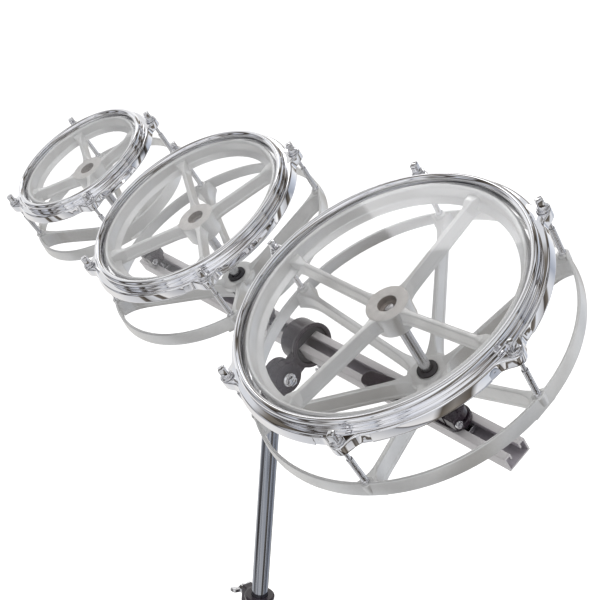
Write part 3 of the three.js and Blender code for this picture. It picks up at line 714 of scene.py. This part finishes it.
def upper_casting(drum):
    """Rim, hub and four spokes that carry the head. Its hub has a faced top and a recess in a darker
    colour, which is painted shade.
    """
    half, crown = drum.half, UPPER.crown
    rim = turned([
        (half - UPPER.inner_in, crown - UPPER.shoulder * 0.6), (half - UPPER.crown_in, crown),
        (half - UPPER.crown_end_in, crown), (half + UPPER.rim_out, crown - UPPER.shoulder),
        (half + UPPER.rim_out, UPPER.foot), (half - UPPER.ledge_in, UPPER.ledge_foot),
        (half - UPPER.inner_in, UPPER.ledge),
    ], 1.6, 4, drum.steps // 2)
    bore, hub_foot = SHAFT.radius + GAP, UPPER.hub_top - UPPER.hub_height
    recess_floor = UPPER.hub_top - UPPER.recess_depth
    hub = turned([
        (bore, hub_foot), (UPPER.hub - 1.0, hub_foot), (UPPER.hub, UPPER.hub_top),
        (UPPER.recess, UPPER.hub_top), (UPPER.recess, recess_floor), (bore, recess_floor),
    ], 1.0, 4, WIDE)
    spokes = around(UPPER.spokes, drum.turn, lambda: spoke(
        (UPPER.recess + 3.0, -UPPER.hub_drop), (half - UPPER.inner_in + 1.0, -UPPER.rim_drop),
        (UPPER.top_width, UPPER.foot_width), (UPPER.depth, UPPER.depth), SWELL.upper_hub,
        SWELL.upper_rim,
    ))
    whole = gathered(rim, hub, *spokes, *around(UPPER.spokes, drum.turn, lambda: rim_boss(drum)))
    for face in whole.faces:
        middle = face.calc_center_median()
        out = hypot(middle.x, middle.y)
        if middle.z > UPPER.hub_top - 0.4 and out < UPPER.hub:
            face.material_index = 1
        # The recess gets the darker colour: painted shade
        elif middle.z > recess_floor - 0.6 and out < UPPER.recess + 0.3:
            face.material_index = 2
    return whole


def lower_casting(drum):
    """The ring that the rods pull on, with its spokes and hub."""
    half = drum.half
    ring = turned([
        (half + LOWER.foot_near, LOWER.foot), (half + LOWER.foot_far, LOWER.foot),
        (half + LOWER.top_far, LOWER.top), (half + LOWER.top_near, LOWER.top),
    ], 1.0, 4, drum.steps // 2)
    bore, under = BUSH.radius + GAP, LOWER.hub_top - LOWER.flange
    hub = turned([
        (bore, LOWER.neck_foot), (LOWER.neck, LOWER.neck_foot), (LOWER.neck + 0.8, under),
        (LOWER.hub, under), (LOWER.hub, LOWER.hub_top), (bore, LOWER.hub_top),
    ], 1.2, 4, WIDE)
    spokes = around(drum.lugs, drum.turn, lambda: spoke(
        (LOWER.spoke_from, -LOWER.hub_drop), (half + LOWER.top_near + 1.0, -LOWER.rim_drop),
        (LOWER.top_width, LOWER.foot_width), (LOWER.depth, LOWER.rim_depth), SWELL.lower_hub,
        SWELL.lower_rim,
    ))
    bosses = around(drum.lugs, drum.turn, lambda: moved(
        turned_pin(LOWER.boss, LOWER.boss_foot, LOWER.top, 1.2, THIN), half + ROD.out))
    return gathered(ring, hub, *spokes, *bosses)


def rod_sleeves(drum):
    """The tubes that guide the rods above the lower casting."""
    radius, bore, foot = SLEEVE.radius, ROD.radius + 0.2, SLEEVE.foot
    wide, lip = radius + SLEEVE.lip, foot + SLEEVE.lip_height
    return gathered(*around(drum.lugs, drum.turn, lambda: moved(turned([
        (bore, foot), (wide, foot), (wide, lip), (radius, lip + SLEEVE.lip), (radius, SLEEVE.top),
        (bore, SLEEVE.top),
    ], 0.5, 3, THIN), drum.half + ROD.out)))


def key_rod(drum, number):
    """A tension rod: washer, collar and square head on a round shank."""
    seat = HOOP.shelf + GAP
    top = seat + ROD.washer_height
    washer = turned_ring(ROD.radius - 0.5, ROD.washer, seat, top, 0.6, SMALL)
    collar = turned_pin(ROD.collar, top - 0.2, top + ROD.collar_height, 0.7, SMALL)
    side = ROD.square / 2
    head = softened(block(-side, side, -side, side, top, top + ROD.square_height), 0.9)
    for vert in head.verts:
        narrow = 1.0 - ROD.taper * (vert.co.z - top) / ROD.square_height
        vert.co.x *= narrow
        vert.co.y *= narrow
    shank = turned_pin(ROD.radius, ROD.foot, top + 0.5, 0.6, THIN)
    rod = moved(gathered(washer, collar, head, shank), drum.half + ROD.out)
    return placed(rod, turn_about("Z", radians(drum.turn + 360 * number / drum.lugs)))


def threaded_shaft():
    """A plain shaft with a chamfered top and a head that slides in the rail's slot."""
    head_top = RAIL.top - RAIL.wall - RAIL.lip - SHAFT.head_drop
    radius, tail, top, chamfer = SHAFT.radius, SHAFT.tail, SHAFT.top, SHAFT.chamfer
    body = turned([
        (0, head_top - 1.0), (tail, head_top - 1.0), (tail, RAIL_SEAT), (radius, RAIL_SEAT),
        (radius, top - chamfer), (radius - chamfer, top), (0, top),
    ], 0.4, 3, BODY)
    x, y = SHAFT.head_length / 2, SHAFT.head_width / 2
    head = softened(block(-x, x, -y, y, head_top - SHAFT.head_height, head_top), 0.8)
    return gathered(body, head)


def shaft_bush():
    inside, seat, foot = SHAFT.radius + GAP, LOWER.hub_top + GAP, LOWER.neck_foot
    top = seat + BUSH.flange_height
    return turned([
        (inside, foot), (BUSH.radius, foot), (BUSH.radius, seat), (BUSH.flange, seat),
        (BUSH.flange, top), (inside, top),
    ], 0.5, 3, steps=72)


def split_foot():
    """A foot whose slotted top is pinched on the shaft by a cross bolt."""
    top = RAIL_SEAT + FOOT.height
    shoulder = RAIL_SEAT + FOOT.neck_height
    barrel = turned([
        (0, RAIL_SEAT), (FOOT.neck, RAIL_SEAT), (FOOT.neck + 0.4, shoulder),
        (FOOT.radius, shoulder + 1.0), (FOOT.radius, top), (0, top),
    ], 1.2)
    lugs = block(-FOOT.lug_half, FOOT.lug_half, FOOT.lug_near, FOOT.lug_far, shoulder, top)
    side = FOOT.slot / 2
    bore = turned_pin(SHAFT.radius + GAP, RAIL_SEAT - 2.0, top + 2.0, 0.2)
    slot = block(-side, side, 0, FOOT.lug_far + 2.0, RAIL_SEAT + FOOT.slot_rise, top + 2.0)
    return carved(moulded([barrel, lugs], 0.5, 3), bore, slot)


def pinch_bolt():
    """A cross bolt whose head has a shallow round socket."""
    face = -FOOT.lug_half - GAP
    end = face - PINCH.head_height
    shank = turned_pin(PINCH.radius, face - 1.0, FOOT.lug_half, 0.4, THIN)
    head = turned([
        (0, end + PINCH.socket_depth), (PINCH.socket, end + PINCH.socket_depth), (PINCH.socket, end),
        (PINCH.head, end), (PINCH.head, face), (0, face),
    ], 0.5, 3, SMALL)
    return placed(gathered(shank, head), shift(0, PINCH.off, RAIL_SEAT + PINCH.rise) @ ALONG_X)


def rail_lever():
    """A flat eye round the large drum's foot that runs out to a rounded grip."""
    eye, tip, far = LEVER.eye, LEVER.tip, LEVER.tip_at
    lean = acos((eye - tip) / far)
    outline = arc(0, 0, eye, lean, tau - lean, 40) + arc(far, 0, tip, -lean, lean, 32)
    low, high = RAIL_SEAT, RAIL_SEAT + LEVER.grip_height
    cutter = block(-far, LEVER.grip_from, -far, far, low + LEVER.eye_height, low + far)
    bore = turned_pin(FOOT.neck + GAP, low - 2.0, high + 2.0, 0.2)
    whole = moulded([carved(prism(outline, low, high), cutter, bore)], 0.6, 5)
    return placed(whole, turn_about("Z", radians(LEVER.turn)))


# Rail, clamp and tilter
def slotted_rail():
    """A channel with a slot in its top. The faces inside it take a darker colour, which is painted
    shade, and a rougher gloss.
    """
    half, low, wall, top = RAIL.width / 2, RAIL.top - RAIL.height, RAIL.wall, RAIL.top
    edge, lip = RAIL.slot / 2, top - wall - RAIL.lip
    right = [
        (half, low), (half, top), (edge, top), (edge, lip), (edge + wall, lip),
        (edge + wall, top - wall), (half - wall, top - wall), (half - wall, low + wall),
    ]
    bar = prism(rounded(both_sides(right), 0.8, 3), RAIL.near, RAIL.far)
    bar.normal_update()
    # Faces inside the channel get the darker colour: painted shade
    for face in bar.faces:
        middle = face.calc_center_median()
        inner = abs(middle.x) < half - wall + 0.2 and low + wall - 0.2 < middle.y < top - 0.4
        if inner and abs(face.normal.z) < 0.5:
            face.material_index = 1
    # The outline's X lies along the frame's Y, its Y along Z, and the bar's length along X
    return placed(bar, Matrix(((0, 0, 1, 0), (1, 0, 0, 0), (0, 1, 0, 0), (0, 0, 0, 1))))


def screw_place():
    """The clamp screw's axis: along the rail, and its lean out of the clamp's ring."""
    return shift(CLAMP.screw_along, 0, RAIL_MIDDLE) @ turn_about("X", SCREW.angle + TILT - QUARTER)


def clamp_collar():
    """The black collar round the rail, its web and the near disc of the tilter."""
    neck_low = CLAMP.near + CLAMP.rim
    ring = placed(turned([
        (CLAMP.bore, CLAMP.near), (CLAMP.outer, CLAMP.near), (CLAMP.outer, neck_low),
        (CLAMP.neck, neck_low + 1.0), (CLAMP.neck, CLAMP.far), (CLAMP.bore, CLAMP.far),
    ], 1.2, 4, WIDE), ON_RAIL)
    back = CLAMP.rail_back * cos(TILT) + CLAMP.pivot_drop * sin(TILT)
    drop = CLAMP.rail_back * sin(TILT) - CLAMP.pivot_drop * cos(TILT)
    disc_far = CLAMP.near + CLAMP.thickness
    disc = placed(turned_pin(CLAMP.disc, CLAMP.near, disc_far, 1.5, WIDE),
                  shift(0, back, RAIL_MIDDLE + drop) @ ALONG_X)
    half = CLAMP.web
    web = block(CLAMP.near + 1.0, disc_far, CLAMP.bore + 1.5, hypot(back, drop), -half, half)
    placed(web, shift(z=RAIL_MIDDLE) @ turn_about("X", atan2(drop, back)))
    boss = turned_pin(SCREW.boss, CLAMP.bore + 1.0, CLAMP.neck + SCREW.boss_height, 1.0, SMALL)
    return moulded([ring, disc, web, placed(boss, screw_place())])


def collar_lining():
    """A plug in the clamp's ring with the rail's shape cut out of it."""
    near, far = CLAMP.near + LINING.recess, CLAMP.far - LINING.recess
    plug = placed(turned_pin(CLAMP.bore - GAP, near, far, 1.0, WIDE), ON_RAIL)
    wide, tall = RAIL.width / 2 + LINING.clear, RAIL.height / 2 + LINING.clear
    return carved(plug, block(near - 2, far + 2, -wide, wide, RAIL_MIDDLE - tall, RAIL_MIDDLE + tall))


def bent_wire_screw():
    """The clamp screw: a collar, and a wire bent over into a hook with a ball end."""
    face = CLAMP.neck + SCREW.boss_height
    end = face + SCREW.reach
    shank = turned_pin(SCREW.radius, CLAMP.bore + GAP, end - 2.0, 0.8, THIN)
    knob = turned_pin(SCREW.collar, face + GAP, face + SCREW.collar, 0.9, SMALL)
    bend, reach = end - SCREW.wire, SCREW.wire_reach
    path = [Vector((0, 0, bend - 6)), Vector((0, 0, bend)), Vector((reach, 0, bend)),
            Vector((reach, 0, end + SCREW.hook - 1))]
    wire = swept(rounded(path, SCREW.bend, 8, closed=False), SCREW.wire)
    ball = bmesh.new()
    bmesh.ops.create_uvsphere(ball, u_segments=24, v_segments=16, radius=SCREW.ball)
    moved(ball, reach, 0, end + SCREW.hook - SCREW.ball)
    return placed(gathered(shank, knob, wire, ball), screw_place())


DISC_FACE = CLAMP.near + CLAMP.thickness + GAP
BASE_FAR = DISC_FACE + BASE.thickness


def tilter_bolt():
    """A domed washer head with a six-sided nut on it."""
    face = CLAMP.near - GAP
    tall = BOLT.head_height
    head = turned([
        (0, face - tall * 0.8), (BOLT.head * 0.7, face - tall), (BOLT.head, face - tall * 0.5),
        (BOLT.head, face), (0, face),
    ], 1.4)
    outline = arc(0, 0, BOLT.hex, 0, tau * 5 / 6, 5)
    nut = softened(prism(outline, face - tall - BOLT.hex_height, face - tall * 0.7), 0.7)
    shank = turned_pin(BOLT.radius, face - 1.0, BASE_FAR + BOLT.tail, 0.6, SMALL)
    return placed(gathered(head, nut, shank), shift(z=pivot.z) @ ALONG_X)


def tilter_base():
    """The far disc of the tilter and the socket that sits on the post."""
    disc = placed(turned_pin(BASE.disc, DISC_FACE, BASE_FAR, 1.5, WIDE), ALONG_X)
    side, foot = BASE.sleeve, BASE.sleeve_foot
    roof = BASE.sleeve_top - BASE.roof
    neck = block(DISC_FACE + 0.5, BASE_FAR - 0.5, -side + 1.0, side - 1.0, roof, 0)
    socket = turned_pin(side, foot, BASE.sleeve_top, 1.6, WIDE)
    rim = turned_ring(side - 1.5, side + BASE.rim, foot, foot + BASE.rim_height, 1.0, WIDE)
    bore = turned_pin(POST.radius + GAP, foot - 2.0, roof, 0.2)
    return moved(carved(moulded([disc, neck, socket, rim]), bore), z=pivot.z)


# The stand
def chrome_post():
    return turned_pin(POST.radius, POST.foot, pivot.z + BASE.sleeve_top - BASE.roof - GAP, 1.0)


def base_tube():
    return turned_ring(TUBE.radius - TUBE.wall, TUBE.radius, TUBE.foot, TUBE.top, 0.7)


CLAMP_TOP = TUBE.top + HEIGHT.above


def height_clamp():
    """The moulded clamp at the top of the base tube."""
    foot, wide, waist = CLAMP_TOP - HEIGHT.height, HEIGHT.radius, HEIGHT.radius - HEIGHT.waist
    low, high = foot + HEIGHT.collar, CLAMP_TOP - HEIGHT.collar
    barrel = turned([
        (0, foot), (wide, foot), (wide, low), (waist, low + 1.0), (waist, high), (wide, high + 1.0),
        (wide, CLAMP_TOP), (0, CLAMP_TOP),
    ], 0.9, 3)
    half = HEIGHT.lug_width / 2
    lug = block(0, HEIGHT.lug_out, -half, half, CLAMP_TOP - HEIGHT.lug_height, CLAMP_TOP - 0.5)
    seat = turned_pin(TUBE.radius + GAP, foot - 2.0, TUBE.top + GAP, 0.1)
    bore = turned_pin(POST.radius + GAP, foot - 2.0, CLAMP_TOP + 2.0, 0.1)
    return carved(moulded([barrel, lug]), seat, bore)


def height_screw():
    """A wing screw with cast wings."""
    low = HEIGHT.lug_out + GAP
    shank = turned_pin(WING.radius, TUBE.radius + GAP + 1.0, low + 1.0, 0.5, THIN)
    hub = turned_pin(WING.hub, low, low + WING.hub_height, 1.0, SMALL)
    wings = []
    for side in (-1, 1):
        outline = rounded([
            (side * 2.0, low + 3.0), (side * (WING.reach - 2.0), low + 5.0),
            (side * WING.reach, low + WING.height), (side * (WING.reach - 6.0), low + WING.height),
            (side * 2.0, low + WING.hub_height - 1.0),
        ], 2.6)
        wings.append(upright_prism(outline, -WING.width / 2, WING.width / 2))
    whole = gathered(moulded([hub, *wings], 0.45), shank)
    height = CLAMP_TOP - HEIGHT.lug_height / 2
    return placed(whole, shift(z=height) @ ALONG_X @ turn_about("Z", QUARTER))


LEG_RUN, LEG_DROP = LEGS.foot_out - LEGS.out, LEGS.height - BOOT.ground
LEG_LEAN = atan2(LEG_RUN, LEG_DROP)
LEG_END = hypot(LEG_RUN, LEG_DROP) - BOOT.radius / 2
BRACE_OUT = LEGS.out + BRACE.length * sin(LEG_LEAN)
BRACE_TOP = LEGS.height - BRACE.length * cos(LEG_LEAN)
COLLAR_HEIGHT = LEGS.height - 2 * BRACE.length * cos(LEG_LEAN)


def hung(out, height, lean, turn):
    """The place of a piece made hanging down from its pivot."""
    return STAND @ turn_about("Z", radians(turn)) @ shift(out, 0, height) @ turn_about("Y", -lean)


def rivet(half, head):
    """A cross pin along Y, with domed heads where it holds strips together."""
    radius, wide = LEGS.pin, LEGS.pin + head
    end = [(0, half), (radius, half), (radius, 0)]
    if head:
        end = [(0, half + head), (wide, half + head * 0.3), (wide, half), (radius, half - 0.3)]
    top = rounded(end, 0.8, 3, closed=False)
    foot = [Vector((r, -z)) for r, z in reversed(top) if z > 0]
    return placed(spun(top + foot, THIN), ALONG_Y)


def round_tube(wall, height, tall, make, reach):
    """A moulded ring round the base tube with parts that stand out of it."""
    low, high = height - tall / 2, height + tall / 2
    ring = turned_ring(TUBE.radius - 1.0, TUBE.radius + wall, low, high, reach, WIDE)
    body = moulded([ring, *around(LEGS.count, LEGS.turn, make)], passes=3)
    return carved(body, turned_pin(TUBE.radius + GAP, low - 2, high + 2, 0.1, WIDE))


def tongue(start, out, height, tall, radius):
    """A flat outline that runs from the tube to a round end."""
    return [(start, height - tall / 2), *arc(out, height, radius, -QUARTER, QUARTER, 12),
            (start, height + tall / 2)]


def leg_hub():
    """The hub on the base tube, with a fork for each leg."""
    inside = TAB.thickness / 2 + GAP
    side, start = inside + HUB.plate, TUBE.radius + HUB.wall / 2
    half = HUB.fork_height / 2

    def fork():
        outline = tongue(start, HUB.fork_out - half, LEGS.height, HUB.fork_height, half)
        return gathered(*[upright_prism(outline, sign * inside, sign * side) for sign in (-1, 1)])

    return round_tube(HUB.wall, LEGS.height, HUB.height, fork, 1.6)


def brace_collar():
    """The sliding collar, with a lug for each brace."""
    tall = COLLAR.lug_height

    def lug():
        outline = tongue(TUBE.radius + 2.0, LEGS.out - COLLAR.lug_in, COLLAR_HEIGHT, tall, tall / 2)
        return upright_prism(outline, -COLLAR.lug / 2, COLLAR.lug / 2)

    return round_tube(COLLAR.wall, COLLAR_HEIGHT, COLLAR.height, lug, 1.6)


def cross_rivets(height, half, head):
    return gathered(*around(LEGS.count, LEGS.turn,
                            lambda: moved(rivet(half, head), LEGS.out, 0, height)))


def folding_leg():
    """A tube whose top is pressed flat round its pivot."""
    long = TAB.length
    stations = [(TAB.radius, 0.35), (TAB.radius * 0.7, 0.8), (0.0, 1.0)]
    stations += [(-long * share, 1.0) for share in (0.55, 0.8, 1.05, 1.3, 1.6, 2.2)]
    stations += [(-LEG_END * 0.6, 1.0), (-LEG_END, 1.0)]
    flat_from, round_at = -long * 0.5, -long * 1.5
    sections = []
    for height, share in stations:
        press = min(max((height - round_at) / (flat_from - round_at), 0.0), 1.0)
        press = press * press * (3 - 2 * press)
        half_x = (LEGS.radius + (TAB.radius - LEGS.radius) * press) * share
        half_y = LEGS.radius + (TAB.thickness / 2 - LEGS.radius) * press
        power = 1.0 - 0.55 * press
        ring = []
        for k in range(SMALL):
            angle = tau * k / SMALL
            x, y = cos(angle), sin(angle)
            ring.append((half_x * x, half_y * copysign(abs(y) ** power, y), height))
        sections.append(ring)
    return lofted(sections)


def leg_brace():
    """Two strips joined by rivets."""
    half, near = BRACE.width / 2, LEGS.radius + BRACE.side
    far = near + BRACE.thickness
    outline = arc(0, 0, half, 0, pi, 16) + arc(0, -BRACE.length, half, pi, tau, 16)
    strips = [placed(softened(prism(outline, low, high), 0.5, 2, 50), UPRIGHT)
              for low, high in ((near, far), (-far, -near))]
    return gathered(*strips, rivet(far, RIVET_HEAD.brace))


def rubber_boot(place):
    """A ribbed boot with a thick toe, cut flat where it stands."""
    radius, bore, end = BOOT.radius, LEGS.radius + GAP, -LEG_END
    groove, toe, top = radius - BOOT.groove, end - BOOT.toe, end + BOOT.length
    wall = [(0, toe), (radius, toe), (radius, toe + BOOT.toe_height)]
    for i in range(BOOT.ribs):
        rise = toe + BOOT.toe_height + 2.0 + BOOT.rib_step * i
        wall += [(groove, rise), (groove, rise + 1.2), (radius, rise + 2.0), (radius, rise + 4.2)]
    wall += [(radius, top - 3.0), (radius - 1.6, top), (bore, top), (bore, end - GAP), (0, end - GAP)]
    body = placed(turned(wall, 1.0, 3, steps=56), place)
    cut = bmesh.ops.bisect_plane(body, geom=body.verts[:] + body.edges[:] + body.faces[:], dist=1e-5,
                                 plane_co=(0, 0, 0), plane_no=(0, 0, 1), clear_inner=True)["geom_cut"]
    rim = [item for item in cut if isinstance(item, bmesh.types.BMEdge)]
    bmesh.ops.holes_fill(body, edges=rim, sides=0)
    return outward(body)


# Assembly. A row holds a name, a shape, a finish, a body, the CAD node that it replaces and a slot.
for drum in DRUMS:
    here = drum_place(drum)
    faced = machined_finish(f"{drum.name} faced hub", here, shade(224, 221, 218))
    for title, mesh, finish, body, node, slot in [
        ("counter_hoop", counter_hoop(drum), CHROME, "lower", "hoop", "hoop"),
        ("clear_head", clear_head(drum), FILM_CLEAR, "upper", "head", "head"),
        ("flesh_hoop", flesh_hoop(drum), STEEL, "upper", None, "steel"),
        ("upper_casting", upper_casting(drum), [CAST, faced, SHADED_BORE], "upper", "upper_frame", "casting"),
        ("lower_casting", lower_casting(drum), CAST, "lower", "lower_frame", "casting"),
        ("rod_sleeves", rod_sleeves(drum), KEY_CHROME, "lower", None, "rod"),
        *[(f"key_rod_{i + 1}", key_rod(drum, i), KEY_CHROME, "lower", f"rod_{i + 1}", "rod")
          for i in range(drum.lugs)],
        ("spindle", threaded_shaft(), STEEL, "mount", "shaft", "steel"),
        ("black_bush", shaft_bush(), BUSH_BLACK, "lower", "shaft_bush", "bush"),
        ("split_foot", split_foot(), BLACK, "mount", "foot", "black"),
        ("pinch_bolt", pinch_bolt(), KEY_CHROME, "mount", "foot_bolt", "rod"),
    ]:
        node = node and f"{drum.name}_{node}"
        piece(f"{drum.name}_{title}", mesh, finish, f"{drum.name}_{body}", node, here)

CROWN_RIVETS = cross_rivets(LEGS.height, TAB.thickness / 2 + GAP + HUB.plate, RIVET_HEAD.crown)
COLLAR_PINS = cross_rivets(COLLAR_HEIGHT, COLLAR.pin_half, 0.0)
piece("slotted_rail", slotted_rail(), [RAIL_METAL, SHADED_SLOT_METAL], "rail", "rail", ROW, sharp=60)
for title, mesh, finish, body, node, slot, place in [
    ("rail_lever_arm", rail_lever(), BLACK, "rail_lever", "rail_lever", "black", drum_place(DRUMS[0])),
    ("collar_lining", collar_lining(), BUSH_BLACK, "rail_sleeve", "rail_sleeve", "bush", ROW),
    ("clamp_collar", clamp_collar(), BLACK, "rail_clamp", "rail_clamp", "black", ROW),
    ("bent_wire_screw", bent_wire_screw(), KEY_CHROME, "clamp_screw", "clamp_screw", "rod", ROW),
    ("tilter_cap_bolt", tilter_bolt(), KEY_CHROME, "tilter_bolt", "tilter_bolt", "rod", STAND),
    ("tilter_socket", tilter_base(), BLACK, "tilter_base", "tilter_base", "black", STAND),
    ("chrome_post", chrome_post(), TUBE_CHROME, "post", "post", "post", STAND),
    ("chrome_base_tube", base_tube(), TUBE_CHROME, "stand", "base_tube", "post", STAND),
    ("height_collar", height_clamp(), BLACK, "stand", "height_clamp", "black", STAND),
    ("height_wing_screw", height_screw(), KEY_CHROME, "height_screw", "height_screw", "rod", STAND),
    ("leg_crown", leg_hub(), BLACK, "stand", "leg_hub", "black", STAND),
    ("leg_crown_rivets", CROWN_RIVETS, KEY_CHROME, "stand", None, "rod", STAND),
    ("sliding_collar", brace_collar(), BLACK, "brace_collar", "brace_collar", "black", STAND),
    ("sliding_collar_pins", COLLAR_PINS, KEY_CHROME, "brace_collar", None, "rod", STAND),
]:
    piece(title, mesh, finish, body, node, place)
for i in range(LEGS.count):
    turn = LEGS.turn + 360 * i / LEGS.count
    leg, brace, foot = f"leg_{i + 1}", f"brace_{i + 1}", f"foot_{i + 1}"
    hang = hung(LEGS.out, LEGS.height, LEG_LEAN, turn)
    low_hang = hung(BRACE_OUT, BRACE_TOP, -LEG_LEAN, turn)
    piece(f"folding_{leg}", folding_leg(), TUBE_CHROME, leg, leg, hang)
    piece(f"leg_{brace}", leg_brace(), STRIP, brace, brace, low_hang)
    piece(f"rubber_boot_{i + 1}", rubber_boot(hang), BOOT_RUBBER, leg, foot)

# Floor, light and camera
CAMERA = (
    shift(-0.89676, 0.74866, 1.21183) @ turn_about("Z", radians(-126.557))
    @ turn_about("Y", radians(-3.963)) @ turn_about("X", radians(71.648))
)
RIGHT, UP, BACK = (CAMERA.to_3x3().col[i].copy() for i in range(3))
HEAD_WAY = Vector((0, sin(TILT), cos(TILT)))


# The studio that only mirrored rays see. Each row holds a share of the way and a screen colour: from
# behind the camera to straight ahead of it, from its left to its right, and from down to up.
DEPTH_STOPS = [
    (0.0, 255, 255, 255), (0.05, 236, 239, 246), (0.057, 70, 66, 66), (0.066, 226, 229, 236),
    (0.11, 255, 255, 255), (0.118, 96, 92, 92), (0.128, 206, 210, 218), (0.215, 255, 255, 255),
    (0.223, 82, 79, 80), (0.235, 196, 199, 205), (0.36, 255, 255, 255), (0.375, 92, 86, 80),
    (0.41, 120, 114, 108), (0.425, 232, 235, 240), (0.5, 190, 190, 192), (0.515, 74, 68, 62),
    (0.56, 120, 114, 106), (0.575, 222, 224, 228), (0.7, 236, 238, 242), (0.8, 255, 255, 255),
]
SIDE_STOPS = [
    (0.0, 225, 226, 230), (0.05, 110, 106, 102), (0.08, 255, 255, 255), (0.6, 255, 255, 255),
    (0.64, 112, 104, 94), (0.7, 156, 150, 142), (0.77, 104, 96, 86), (0.795, 255, 255, 255),
    (0.86, 226, 231, 240), (0.92, 186, 191, 201), (0.96, 255, 255, 255),
]
HEIGHT_STOPS = [
    (0.0, 235, 235, 235), (0.25, 236, 234, 232), (0.45, 255, 255, 255), (0.78, 255, 255, 255),
    (0.8, 150, 143, 135), (0.85, 146, 140, 134), (0.87, 255, 255, 255),
]
FOLDS = Sizes(scale=1.6, depth=0.08)
ROOM_LIGHT, FLOOR_GLOW = 0.7, 0.62
LAMP_AIM = Vector((0, 0, 0.9))
# The soft box that the heads mirror, as slopes against the straight way to it
BOX = Sizes(
    near_slope=0.747, near=0.04, end_side=0.0339, end_rise=0.0286, end=0.00499, end_low=0.058,
    top=0.22, left=-0.3, right=0.24, far=0.2, dim=0.8, bright=1.9,
)


def ray_kinds(wire):
    """Whether a ray is looked along straight or through something clear, and whether it is mirrored."""
    direct, clear, mirrored = (wire.node("ShaderNodeLightPath", out=kind) for kind in (
        "Is Camera Ray", "Is Transmission Ray", "Is Glossy Ray"))
    return direct.maths("MAXIMUM", clear), mirrored


def white_floor():
    """Pale floor that keeps its shadow. Mirrors see the studio in its place."""
    mesh = bmesh.new()
    bmesh.ops.create_grid(mesh, x_segments=1, y_segments=1, size=30.0)
    data = as_data("floor", mesh)
    material, wire = new_material("white floor")
    direct, mirrored = ray_kinds(wire)
    pale = principled(wire, Base_Color=(0.8, 0.8, 0.8, 1), Roughness=0.9, Specular_IOR_Level=0.0,
                      Emission_Color=WHITE, Emission_Strength=direct * FLOOR_GLOW)
    shown(blended(wire, mirrored, pale, wire.node("ShaderNodeBsdfTransparent")))
    data.materials.append(material)
    floor = in_scene("floor", data)


def studio_world():
    """White to the camera, an even grey to rough surfaces, and a striped studio to mirrors."""
    world = bpy.data.worlds.new("studio")
    bpy.context.scene.world = world
    world.use_nodes = True
    world.node_tree.nodes.clear()
    wire = Wire(world.node_tree)
    way = wire.node("ShaderNodeTexCoord", out=0)

    def along(direction):
        return wire.node("ShaderNodeVectorMath", {"operation": "DOT_PRODUCT"},
                         {0: way, 1: tuple(direction)}, out=1)

    def light(colour, strength):
        return wire.node("ShaderNodeBackground", sockets={"Color": colour, "Strength": strength})

    folds = (noise(wire, way, FOLDS.scale, 1.0) - 0.5) * FOLDS.depth
    walls = WHITE
    for direction, stops in ((-BACK, DEPTH_STOPS), ((0, 0, 1), HEIGHT_STOPS), (RIGHT, SIDE_STOPS)):
        share = along(direction) * 0.5 + folds + 0.5
        stripes = wire.node("ShaderNodeValToRGB", {"stops": stops}, {"Fac": share})
        walls = wire.node("ShaderNodeMix", {"data_type": "RGBA", "blend_type": "MULTIPLY"},
                          {0: 1.0, 6: walls, 7: stripes}, out=2)

    # The soft box is drawn in the camera's frame mirrored in the heads
    to_right, to_top, to_back = (axis - 2 * axis.dot(HEAD_WAY) * HEAD_WAY for axis in (RIGHT, UP, BACK))
    far = along(-to_back)
    side = along(to_right).maths("DIVIDE", far)
    rise = along(to_top).maths("DIVIDE", far)
    near_box = (rise - side * BOX.near_slope) > BOX.near
    end_box = (side * BOX.end_side + rise * BOX.end_rise > BOX.end) * (rise > BOX.end_low)
    inside = near_box.maths("MAXIMUM", end_box) * (far > BOX.far) * (rise < BOX.top)
    inside = inside * (side < BOX.right) * (side > BOX.left)
    box = light(WHITE, end_box * BOX.bright + BOX.dim)
    mirror_world = blended(wire, inside, light(walls, 1.0), box)

    direct, mirrored = ray_kinds(wire)
    rough_or_mirror = blended(wire, mirrored, light(WHITE, ROOM_LIGHT), mirror_world)
    shown(blended(wire, direct, rough_or_mirror, light(WHITE, 1.0)), "ShaderNodeOutputWorld")


def soft_lamp(name, place, size, watts):
    """An area lamp that looks at the drums and isn't seen in the chrome."""
    data = bpy.data.lights.new(name, "AREA")
    data.shape = "RECTANGLE"
    data.size, data.size_y = size
    data.energy = watts
    lamp = in_scene(name, data)
    lamp.visible_glossy = False
    lamp.location = place
    lamp.rotation_euler = (LAMP_AIM - Vector(place)).to_track_quat("-Z", "Y").to_euler()


white_floor()
studio_world()
soft_lamp("overhead box", (-0.5, 0.3, 3.0), (1.8, 1.2), 26)
soft_lamp("side box", (-2.2, -1.2, 1.8), (1.4, 1.2), 14)

# The camera stands in front of the large drum's end and looks along the row
camera_data = bpy.data.cameras.new("camera")
camera_data.sensor_width = 36.0
camera_data.lens = 67.217
camera_data.clip_start = 0.05
camera = in_scene("camera", camera_data)
camera.matrix_world = CAMERA
bpy.context.scene.camera = camera
bpy.context.scene.view_settings.view_transform = "Standard"
